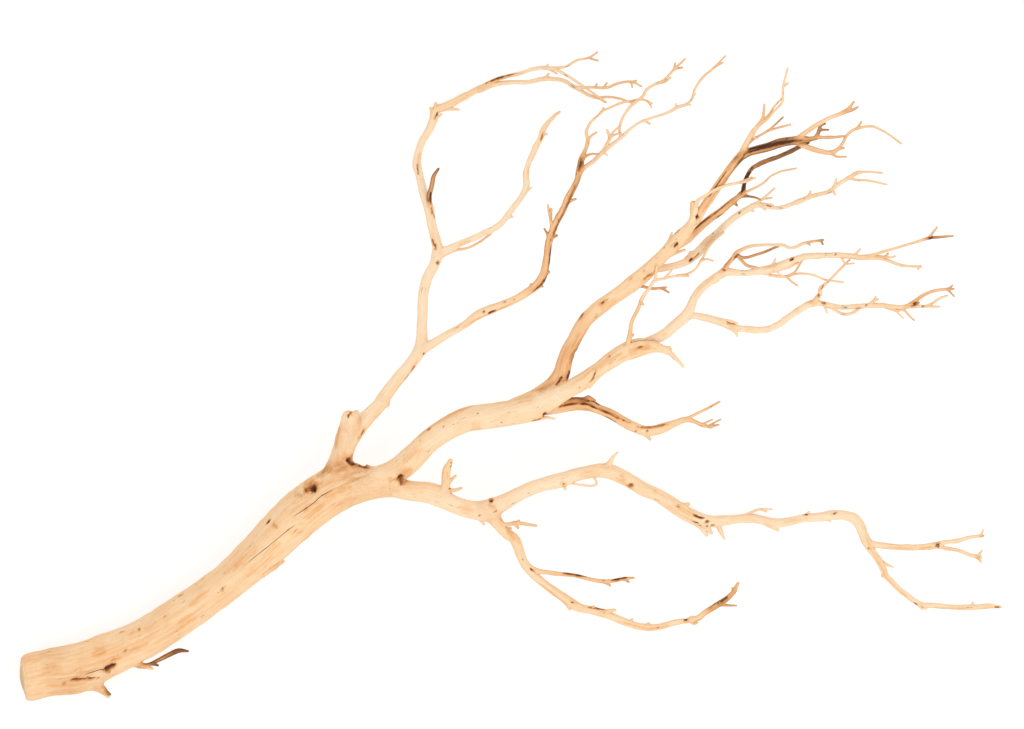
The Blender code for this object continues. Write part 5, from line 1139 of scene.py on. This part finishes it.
def lattice(x, y, z):
    """A fixed random number from -1 to 1 for each whole-number place: its coordinates times three large odd
    numbers, added up, with their bits mixed twice."""
    mixed = (x * LATTICE_FACTORS[0] + y * LATTICE_FACTORS[1] + z * LATTICE_FACTORS[2]) & 0xFFFFFFFF
    mixed = ((mixed ^ (mixed >> 13)) * LATTICE_MIX) & 0xFFFFFFFF
    return (mixed ^ (mixed >> 16)) / 0x7FFFFFFF - 1


def noise(places):
    """Smooth noise from -1 to 1: the eight lattice numbers round each place, mixed by 3f^2 - 2f^3."""
    whole = np.floor(places).astype(np.int64)
    f = places - whole
    f = f * f * (3 - 2 * f)
    total = 0
    for corner in np.ndindex(2, 2, 2):
        share = np.prod(np.where(corner, f, 1 - f), axis=1)
        total = total + share * lattice(*(whole + corner).T)
    return total


def shape_of_growth(seen, number):
    """How far the wood stands out from a round limb, as shares of its radius r: two lobes, cos(2a + u /
    twist), and three, cos(3a - u / twist), at angle a and length u; flutes of noise and creases of 1 -
    |noise| along the grain; short swellings; and a wobble on thin twigs."""
    r, u = seen.radius, seen.u
    angle = np.arctan2(seen.upward, seen.sideways)
    ring = np.stack([np.cos(angle) * r, np.sin(angle) * r], 1)
    lobes = (TWO_LOBES * np.cos(2 * angle + u / TWO_TWIST + number)
             + THREE_LOBES * np.cos(3 * angle - u / THREE_TWIST + 2 * number))
    apart = NOISE_APART * number
    rough = lambda across, length: noise(np.column_stack([ring / across, u / length + apart]))
    flutes = rough(*FLUTES[1:]) * FLUTES[0] + (CREASE_LEVEL - np.abs(rough(*CREASES[1:]))) * CREASES[0]
    swellings = rough(*SWELLINGS[1:]) * SWELLINGS[0] + rough(*SMALL_SWELLINGS[1:]) * SMALL_SWELLINGS[0]
    thin = np.clip(1.6 - r / 4, 0, 1) * rough(*TWIG_WOBBLE[1:]) * TWIG_WOBBLE[0]
    return r * (lobes + swellings + thin) + np.minimum(r, FLUTED_RADIUS) * flutes * FLUTE_HEIGHT


def distance_to_line(x, y, line):
    """Plan distance from a broken line, with its sign by the side, and how far along it the nearest place
    is, 0 to 1. The distance from one point has no sign, and its place is the middle."""
    line = np.array(line, float)
    if len(line) == 1:
        away = np.hypot(x - line[0, 0], y - line[0, 1])
        return away, np.full(len(x), 0.5)
    lengths = np.linalg.norm(np.diff(line, axis=0), axis=1)
    starts = np.concatenate(([0], np.cumsum(lengths)))
    best, sign, place = np.full(len(x), np.inf), np.ones(len(x)), np.zeros(len(x))
    for (x0, y0), (x1, y1), length, start in zip(line, line[1:], lengths, starts):
        dx, dy = (x1 - x0) / length, (y1 - y0) / length
        t = np.clip((x - x0) * dx + (y - y0) * dy, 0, length)
        away = np.hypot(x - x0 - t * dx, y - y0 - t * dy)
        nearer = away < best
        best = np.where(nearer, away, best)
        sign = np.where(nearer, np.sign((x - x0) * dy - (y - y0) * dx), sign)
        place = np.where(nearer, (start + t) / starts[-1], place)
    return best * np.where(sign == 0, 1, sign), place


def carve(seen, marks, points, face_up, skin):
    """Lays a limb's marks on the skin. A mark's strength falls from its line to its edge as 1 - t^2 (3 -
    2t), where t is the distance over half the width, and it fades on the limb's lower half. A knot is a
    dark eye in a raised ring, exp(-x^2) of the distance from the ring. A crack is a seam that closes
    towards its ends."""
    hold = np.zeros(len(points))
    hold[seen.index] = seen.hold
    near = np.flatnonzero((hold > 0) & (face_up > -MARK_SIDE))
    x, y = points[near, 0], points[near, 1]
    strength = hold[near] * np.clip((face_up[near] + MARK_SIDE) * 3, 0, 1)
    ragged = noise(points[near] / MARK_WAVER)
    for kind, width, *line in marks:
        rise, dark, warm, brown, edge = KINDS[kind]
        away, place = distance_to_line(x, y, line)
        to_end = np.minimum(place, 1 - place)
        taper = 1.0 if len(line) == 1 else np.clip(to_end * 5, 0.25, 1)
        half = np.maximum(width, NARROWEST_CRACK if kind == "crack" else 0) / 2 * taper
        t = np.clip(np.abs(away) / (half * 1.25) + edge * ragged * 0.6, 0, 1)
        fall = (1 - t * t * (3 - 2 * t)) * strength
        if kind == "knot":
            ring = np.exp(-((np.abs(away) / half - 0.75) / 0.35) ** 2) * strength
            skin.rise[near] += width * rise * (1.2 * ring - 1.4 * fall)
            skin.dark[near] = np.maximum(skin.dark[near], (1.0 - 0.9 * np.abs(away) / half) * strength)
        elif kind == "crack":
            closer = (np.abs(away) < np.abs(skin.seam[near])) & (strength > 0.3)
            ends = np.clip(to_end * 6, 0, 1)
            skin.seam[near] = np.where(closer, away, skin.seam[near])
            skin.seam_width[near] = np.where(closer, width * ends, skin.seam_width[near])
            skin.rise[near] += rise * fall * ends
        else:
            skin.rise[near] += width * rise * fall
            skin.dark[near] = np.maximum(skin.dark[near], dark * (1 - t) * strength)
        skin.warm[near] = np.maximum(skin.warm[near], warm * fall)
        skin.brown[near] = np.maximum(skin.brown[near], brown * fall)


def scatter_knots(found, limbs, points, skin):
    """Small knots and pits on the sides and the underside, one to each stretch of the thicker limbs, at
    places that a seeded generator chooses. At t sizes from the middle each is a hump or a pit, exp(-t^2),
    in a low rim at 1.3 sizes."""
    chance = np.random.default_rng(KNOT_SEED)
    for name, seen in found.items():
        limb = limbs[name]
        if limb.radius.mean() < KNOTTY_RADIUS:
            continue
        stretch = KNOT_STRETCH + KNOT_STRETCH_SHARE * limb.radius.mean()
        for start in np.arange(limb.u[0] + stretch, limb.u[-1] - 4, stretch):
            u = start + chance.uniform(-0.4, 0.4) * stretch
            turn = chance.uniform(math.pi, 2 * math.pi) + chance.normal(0, 0.5)
            size = chance.uniform(*KNOT_SIZES) + 0.05 * limb.radius.mean()
            sunk = chance.uniform(-0.5, 0.4)
            r = np.maximum(seen.radius, 0.5)
            across = np.hypot(seen.sideways - r * math.cos(turn), seen.upward - r * math.sin(turn))
            t = np.hypot(across, (seen.u - u) * 0.6) / size
            near = t < 3
            index = seen.index[near]
            fall = np.exp(-t[near] ** 2) * seen.hold[near]
            rim = np.exp(-((t[near] - 1.3) / 0.5) ** 2) * seen.hold[near]
            skin.rise[index] += size * (sunk * fall + 0.22 * rim)
            dark = (0.85 - 0.5 * t[near]) * (sunk < 0.1) * seen.hold[near]
            skin.dark[index] = np.maximum(skin.dark[index], dark)
            skin.warm[index] = np.maximum(skin.warm[index], 0.6 * rim)


def blend(found, count, value):
    """A value given limb by limb, mixed by each limb's hold on each point: sum of hold * value / sum of
    hold."""
    total, weight = 0, np.full(count, 1e-9)
    for number, (name, seen) in enumerate(found.items()):
        given = value(name, seen, number)
        if np.ndim(total) == 0:
            total = np.zeros((count,) + given.shape[1:])
        hold = seen.hold if given.ndim == 1 else seen.hold[:, None]
        total[seen.index] += given * hold
        weight[seen.index] += seen.hold
    return total / (weight if total.ndim == 1 else weight[:, None])


def age_along(limb, u):
    """How brown a limb is at distances u: its table's values joined by straight lines. A limb that isn't
    in the table is one value all along, a little browner than its parent is where it starts."""
    if limb.tone is not None:
        return np.full(len(u), limb.tone)
    if limb.name not in TONES:
        return np.full(len(u), age_along(limb.parent, limb.u[:1])[0] + TWIG_TONE)
    table = TONES[limb.name]
    places = [limb.u[np.argmin(np.hypot(limb.centre[:, 0] - x, limb.centre[:, 1] - y))]
              for x, y, _ in table]
    return np.interp(u, places, [tone for *_, tone in table])


def draw_in(points):
    """The tables give each place as it is seen against the view's level. What lies z above that level looks
    larger from the camera's height H, so it is drawn in to the view's middle by 1 - z / H."""
    middle = np.array(VIEW_MIDDLE) / MILLIMETRE
    share = 1 - (points[:, 2:] * MILLIMETRE - VIEW_LEVEL) / CAMERA_HEIGHT
    return np.hstack([middle + (points[:, :2] - middle) * share, points[:, 2:]])


def grown_together(limbs):
    """The united tubes, moved out to their fillets and evened where limbs meet: points, faces, edges, the
    edges at each vertex, and how deep each point lies in a crotch, which is the sum of the limbs' holds -
    1."""
    points, faces = one_skin(limbs)
    points = fillet(limbs, points)
    edges, degree = neighbours(faces, len(points))
    found, _ = weigh(limbs, points)
    shared = np.zeros(len(points))
    for seen in found.values():
        shared[seen.index] += seen.hold
    crotch = np.clip(shared - 1, 0, 1)
    at_join = average(np.clip(crotch * 4, 0, 1)[:, None], edges, degree)[:, 0]
    return relax(points, edges, degree, at_join, EVENING_ROUNDS), faces, edges, degree, crotch


def brownness(limbs, found, face_up):
    """Each point's tone: its limb's own, less on thin twigs, and more on the sides and underside by (1 -
    face_up) to a power, which is painted shade. Thinness is exp(-r / SLIM)."""
    tone = blend(found, len(face_up), lambda name, seen, number: age_along(limbs[name], seen.u))
    slim = blend(found, len(face_up), lambda name, seen, number: np.exp(-seen.radius / SLIM))
    # Painted shade: browner where the skin turns from the top to the sides and underside.
    side = (1 - np.clip(face_up, -0.6, 1)) ** FLANK_SHADE_POWER
    return tone - BLEACHED * slim + (FLANK_SHADE[0] + FLANK_SHADE[1] * slim) * side


def on_the_cut(trunk, points, out):
    """1 on the sawn face, falling to 0 over its worn edge, by how far the skin faces along the cut's
    axis."""
    face = unit(-trunk.along[0] - SAWN_LEAN * trunk.up[0] - SAWN_TURN * trunk.side[0])
    reach = trunk.centre[0, 0] + CUT_REACH * trunk.radius[0]
    return np.clip((out @ face - CUT_FACING) * CUT_SHARPNESS, 0, 1) * (points[:, 0] < reach)


def driftwood():
    """The branch's skin, moved out by growth and marks along its smoothed normals, except on the cut, and
    laid on the floor. What the wood's colour needs to know goes with it as attributes."""
    limbs = grow_limbs()
    points, faces, edges, degree, crotch = grown_together(limbs)
    count = len(points)
    found, _ = weigh(limbs, points)
    out = normals(points, faces)
    for _ in range(2):
        out = unit(out + average(out, edges, degree))
    face_up = blend(found, count, lambda name, seen, number: seen.upward / np.maximum(seen.radius, 0.5))
    growth = blend(found, count, lambda name, seen, number: shape_of_growth(seen, number))
    skin = SimpleNamespace(rise=np.zeros(count), dark=np.zeros(count), warm=np.zeros(count),
                           brown=np.zeros(count), seam=np.full(count, NO_SEAM), seam_width=np.zeros(count))
    for name, marks in MARKS.items():
        carve(found[name], marks, points, face_up, skin)
    scatter_knots(found, limbs, points, skin)
    grain = blend(found, count, lambda name, seen, number: np.stack(
        [seen.sideways, seen.upward, seen.u], 1))
    tone = brownness(limbs, found, face_up)
    cut = on_the_cut(limbs["trunk"], points, out)
    points = points + ((growth + skin.rise) * (1 - cut))[:, None] * out
    points[:, 2] = np.maximum(points[:, 2], 0)
    # Painted shade: how hollow the skin is, which darkens the wood in its hollows.
    hollow_shade = np.einsum("ij,ij->i", average(points, edges, degree) - points, normals(points, faces))
    hollow_shade = np.clip(average(hollow_shade[:, None], edges, degree)[:, 0] * 6, 0, 1)
    points = draw_in(points - MIDDLE)
    mesh = bpy.data.meshes.new("driftwood_branch")
    mesh.from_pydata(points * MILLIMETRE, [], faces.tolist())
    mesh.shade_smooth()
    values = {"tone": tone, "dark": skin.dark, "warm": skin.warm, "brown": skin.brown, "seam": skin.seam,
              "seam_width": skin.seam_width, "hollow_shade": hollow_shade, "crotch": crotch, "cut": cut}
    for name, value in values.items():
        mesh.attributes.new(name, "FLOAT", "POINT").data.foreach_set("value", value.astype(np.float32))
    mesh.attributes.new("grain", "FLOAT_VECTOR", "POINT").data.foreach_set(
        "vector", (grain * MILLIMETRE).astype(np.float32).ravel())
    branch = bpy.data.objects.new("driftwood_branch", mesh)
    bpy.context.scene.collection.objects.link(branch)
    return branch


class Shader:
    """Adds nodes to one material. A socket takes a number, a colour or another node's output."""

    def __init__(self, name):
        self.material = bpy.data.materials.new(name)
        self.material.use_nodes = True
        self.tree = self.material.node_tree
        self.surface = self.tree.nodes["Principled BSDF"].inputs

    def node(self, kind, inputs=(), **settings):
        made = self.tree.nodes.new(kind)
        for name, value in settings.items():
            setattr(made, name, value)
        for socket, value in dict(inputs).items():
            self.set(made.inputs[socket], value)
        return made

    def set(self, socket, value):
        if isinstance(value, bpy.types.NodeSocket):
            self.tree.links.new(value, socket)
        else:
            socket.default_value = value

    def attribute(self, name, output="Fac"):
        return self.node("ShaderNodeAttribute", attribute_name=name).outputs[output]

    def math(self, operation, a, b=0.0, clamp=False):
        made = self.node("ShaderNodeMath", {0: a, 1: b}, operation=operation, use_clamp=clamp)
        return made.outputs[0]

    def add_up(self, first, *terms, clamp=False):
        """The first value, and each further value times its share."""
        total = first
        for number, (value, share) in enumerate(terms, 1):
            last = number == len(terms)
            total = self.math("ADD", total, self.math("MULTIPLY", value, share), clamp and last)
        return total

    def around_none(self, value):
        """A noise that runs from 0 to 1, moved to run from -0.5 to 0.5."""
        return self.math("SUBTRACT", value, 0.5)

    def range(self, value, low, high, to_low=0.0, to_high=1.0):
        """The value's place between low and high, smoothed, as a number from to_low to to_high."""
        inputs = {"Value": value, "From Min": low, "From Max": high, "To Min": to_low, "To Max": to_high}
        return self.node("ShaderNodeMapRange", inputs, interpolation_type="SMOOTHSTEP").outputs["Result"]

    def mix(self, share, a, b, blend="MIX"):
        made = self.node("ShaderNodeMix", data_type="RGBA", blend_type=blend)
        for socket, value in ((0, share), (6, a), (7, b)):
            self.set(made.inputs[socket], value)
        return made.outputs[2]

    def tint(self, share, colour, by):
        """The colour multiplied by another one, where the share is 1."""
        return self.mix(share, colour, (*by, 1), "MULTIPLY")

    def noise(self, vector, stretch, scale, detail, roughness, distortion):
        """Noise with a period of 1 / scale metres, and stretched along each axis as stretch says."""
        placed = self.node("ShaderNodeMapping", {"Vector": vector, "Scale": stretch}).outputs[0]
        made = self.node("ShaderNodeTexNoise", {"Vector": placed, "Scale": scale, "Detail": detail,
                                                "Roughness": roughness, "Distortion": distortion})
        return made.outputs["Fac"]


def aged_colour(s, noises):
    """Cream to brown by age: the limb's tone, its brown marks, broad bands, clouds and streaks."""
    # The tone also holds the painted shade on the limbs' sides and undersides.
    tone = s.attribute("tone")
    strength = s.math("ADD", s.math("MULTIPLY", tone, STREAK_AGE_SHARE), STREAK_AGE)
    age = s.add_up(tone, (s.attribute("brown"), BROWN_AGE), (s.around_none(noises["broad"]), BROAD_AGE),
                   (s.around_none(noises["cloud"]), CLOUD_AGE), (s.around_none(noises["streaks"]), strength),
                   clamp=True)
    wood = s.node("ShaderNodeValToRGB", {"Fac": age})
    stops = wood.color_ramp.elements
    for position, _ in WOOD_COLOURS[1:-1]:
        stops.new(position)
    for stop, (_, colour) in zip(stops, WOOD_COLOURS):
        stop.color = (*colour, 1)
    return wood.outputs["Color"]


def weathered_and_shaded(s, colour, noises):
    """The aged colour, orange where resin has soaked in, with fine streaks, grit and dark specks, and with
    painted shade in its hollows and crotches."""
    resin = s.math("ADD", s.math("MULTIPLY", s.attribute("warm"), 0.8),
                   s.math("MULTIPLY", s.range(noises["broad"], 0.56, 0.75), 0.35), clamp=True)
    resin = s.math("MULTIPLY", resin, s.range(noises["streaks"], 0.3, 0.62, 0.35, 1))
    colour = s.tint(resin, colour, RESIN)
    colour = s.tint(s.range(noises["fine"], 0.35, 0.75, 0.0, 0.9), colour, FINE_STREAK)
    colour = s.tint(s.range(noises["grit"], 0.4, 0.75, 0.0, 0.9), colour, FINE_STREAK)
    colour = s.mix(s.range(noises["specks"], 0.645, 0.735, 0, 0.62), colour, (*BARK, 1))
    # Painted shade: darker in the skin's hollows and crotches.
    hollow_shade = s.math("ADD", s.math("MULTIPLY", s.attribute("crotch"), 0.3), s.attribute("hollow_shade"), clamp=True)
    return s.tint(s.math("MULTIPLY", hollow_shade, 0.5), colour, SHADED)


def open_seams(s, noises):
    """1 inside a crack, whose edge lies where the distance from its line, wavering with the streaks, is
    between a fifth and a half of its width."""
    away = s.math("ABSOLUTE", s.attribute("seam"))
    wobble = s.math("MULTIPLY", s.around_none(noises["streaks"]), 0.5)
    width = s.math("MAXIMUM", s.attribute("seam_width"), 0.02)
    share = s.math("DIVIDE", s.math("ADD", away, wobble), width)
    return s.range(share, 0.2, 0.5, 1, 0)


def dark_marks(s, noises):
    """How stained and how dark the wood is at its knots, pits and bark, with edges that follow the
    grain."""
    dark = s.attribute("dark")
    both = s.math("ADD", noises["fine"], noises["streaks"])
    ragged = s.math("MULTIPLY", s.math("SUBTRACT", both, 1.0), 0.7)
    depth = s.math("ADD", dark, ragged)
    marked = s.range(dark, 0.03, 0.15)
    return (s.math("MULTIPLY", s.range(depth, 0.15, 0.55), marked),
            s.math("MULTIPLY", s.range(depth, 0.5, 0.85), marked))


def end_grain(s, grain, grit):
    """The age rings of the sawn end: noise of the distance from the pith, a little oval."""
    across = s.node("ShaderNodeMapping", {"Vector": grain, "Scale": (1, AGE_RING_OVAL, 0)}).outputs[0]
    from_pith = s.node("ShaderNodeVectorMath", {0: across}, operation="LENGTH").outputs["Value"]
    line = s.node("ShaderNodeCombineXYZ", {0: from_pith}).outputs[0]
    rings = s.node("ShaderNodeTexNoise", {"Vector": line, "Scale": AGE_RINGS, "Detail": AGE_RING_DETAIL})
    colour = s.mix(s.range(rings.outputs["Fac"], 0.35, 0.65), (*END_LIGHT, 1), (*END_DARK, 1))
    return s.tint(s.range(grit, 0.45, 0.75, 0, 0.6), colour, END_DARK)


def bare_wood():
    """Pale, sandblasted wood: cream to brown with age, streaked and flecked along the grain, orange where
    resin has soaked in, dark in its knots and cracks, with painted shade in its crotches, hollows and
    flanks, and ringed on the sawn end."""
    s = Shader("bare_wood")
    grain = s.attribute("grain", "Vector")
    place = s.node("ShaderNodeTexCoord").outputs["Object"]
    noises = {name: s.noise(place if name in ("cloud", "grit") else grain, *kind)
              for name, kind in WOOD_NOISES.items()}
    streaks, fine, broad, grit = (noises[name] for name in ("streaks", "fine", "broad", "grit"))
    stained, dark = dark_marks(s, noises)
    seams = open_seams(s, noises)
    colour = weathered_and_shaded(s, aged_colour(s, noises), noises)
    colour = s.tint(stained, colour, STAINED)
    colour = s.mix(dark, colour, (*BARK, 1))
    colour = s.mix(seams, colour, (*CRACK, 1))
    colour = s.mix(s.attribute("cut"), colour, end_grain(s, grain, grit))
    s.set(s.surface["Base Color"], colour)
    s.set(s.surface["Roughness"], s.range(streaks, 0.2, 0.8, *WOOD_ROUGHNESS))
    s.surface["Specular IOR Level"].default_value = WOOD_GLOSS
    height = s.add_up(s.math("MULTIPLY", streaks, STREAK_BUMP), (fine, FINE_BUMP), (broad, BROAD_BUMP),
                      (grit, GRIT_BUMP))
    height = s.math("SUBTRACT", height, s.math("MULTIPLY", s.math("ADD", seams, dark), SUNK_BUMP))
    bump = s.node("ShaderNodeBump", {"Strength": BUMP, "Distance": BUMP_HEIGHT, "Height": height})
    s.set(s.surface["Normal"], bump.outputs["Normal"])
    return s.material


def floor():
    """A plain pale floor, wide enough for any view, that glows a little so that it stays pale."""
    s = Shader("pale_floor")
    s.surface["Base Color"].default_value = FLOOR_GREY
    s.surface["Roughness"].default_value = 0.9
    s.surface["Specular IOR Level"].default_value = 0.1
    s.surface["Emission Color"].default_value = WHITE
    s.surface["Emission Strength"].default_value = FLOOR_GLOW
    mesh = bpy.data.meshes.new("floor")
    corners = [(-1, -1), (1, -1), (1, 1), (-1, 1)]
    mesh.from_pydata([(x * FLOOR_HALF, y * FLOOR_HALF, 0) for x, y in corners], [], [(0, 1, 2, 3)])
    mesh.materials.append(s.material)
    plain = bpy.data.objects.new("floor", mesh)
    bpy.context.scene.collection.objects.link(plain)


def light(name, place, size, power, colour):
    """A square soft light at a place, turned to the branch."""
    data = bpy.data.lights.new(name, "AREA")
    data.shape, data.size, data.energy, data.color = "SQUARE", size, power, colour
    lamp = bpy.data.objects.new(name, data)
    bpy.context.scene.collection.objects.link(lamp)
    lamp.location = place
    lamp.rotation_mode = "QUATERNION"
    lamp.rotation_quaternion = (-lamp.location).to_track_quat("-Z", "Y")


def studio():
    """Soft light from all round and the two lights, with colours shown as they are."""
    for name, place, size, power, colour in LIGHTS:
        light(name, place, size, power, colour)
    world = bpy.data.worlds.new("studio")
    world.use_nodes = True
    world.node_tree.nodes["Background"].inputs["Color"].default_value = WHITE
    world.node_tree.nodes["Background"].inputs["Strength"].default_value = SKY
    bpy.context.scene.world = world
    bpy.context.scene.view_settings.view_transform = "Standard"


def camera():
    """Looks straight down from far off. At CAMERA_HEIGHT above the view's level it sees VIEW_WIDTH
    there."""
    data = bpy.data.cameras.new("camera")
    data.sensor_width = SENSOR
    data.lens = SENSOR * CAMERA_HEIGHT / VIEW_WIDTH
    seer = bpy.data.objects.new("camera", data)
    seer.location = (VIEW_MIDDLE[0], VIEW_MIDDLE[1], CAMERA_HEIGHT + VIEW_LEVEL)
    bpy.context.scene.collection.objects.link(seer)
    bpy.context.scene.camera = seer


camera()
studio()
floor()
branch = driftwood()
branch.data.materials.append(bare_wood())
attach(branch, "root")
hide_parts("driftwood")
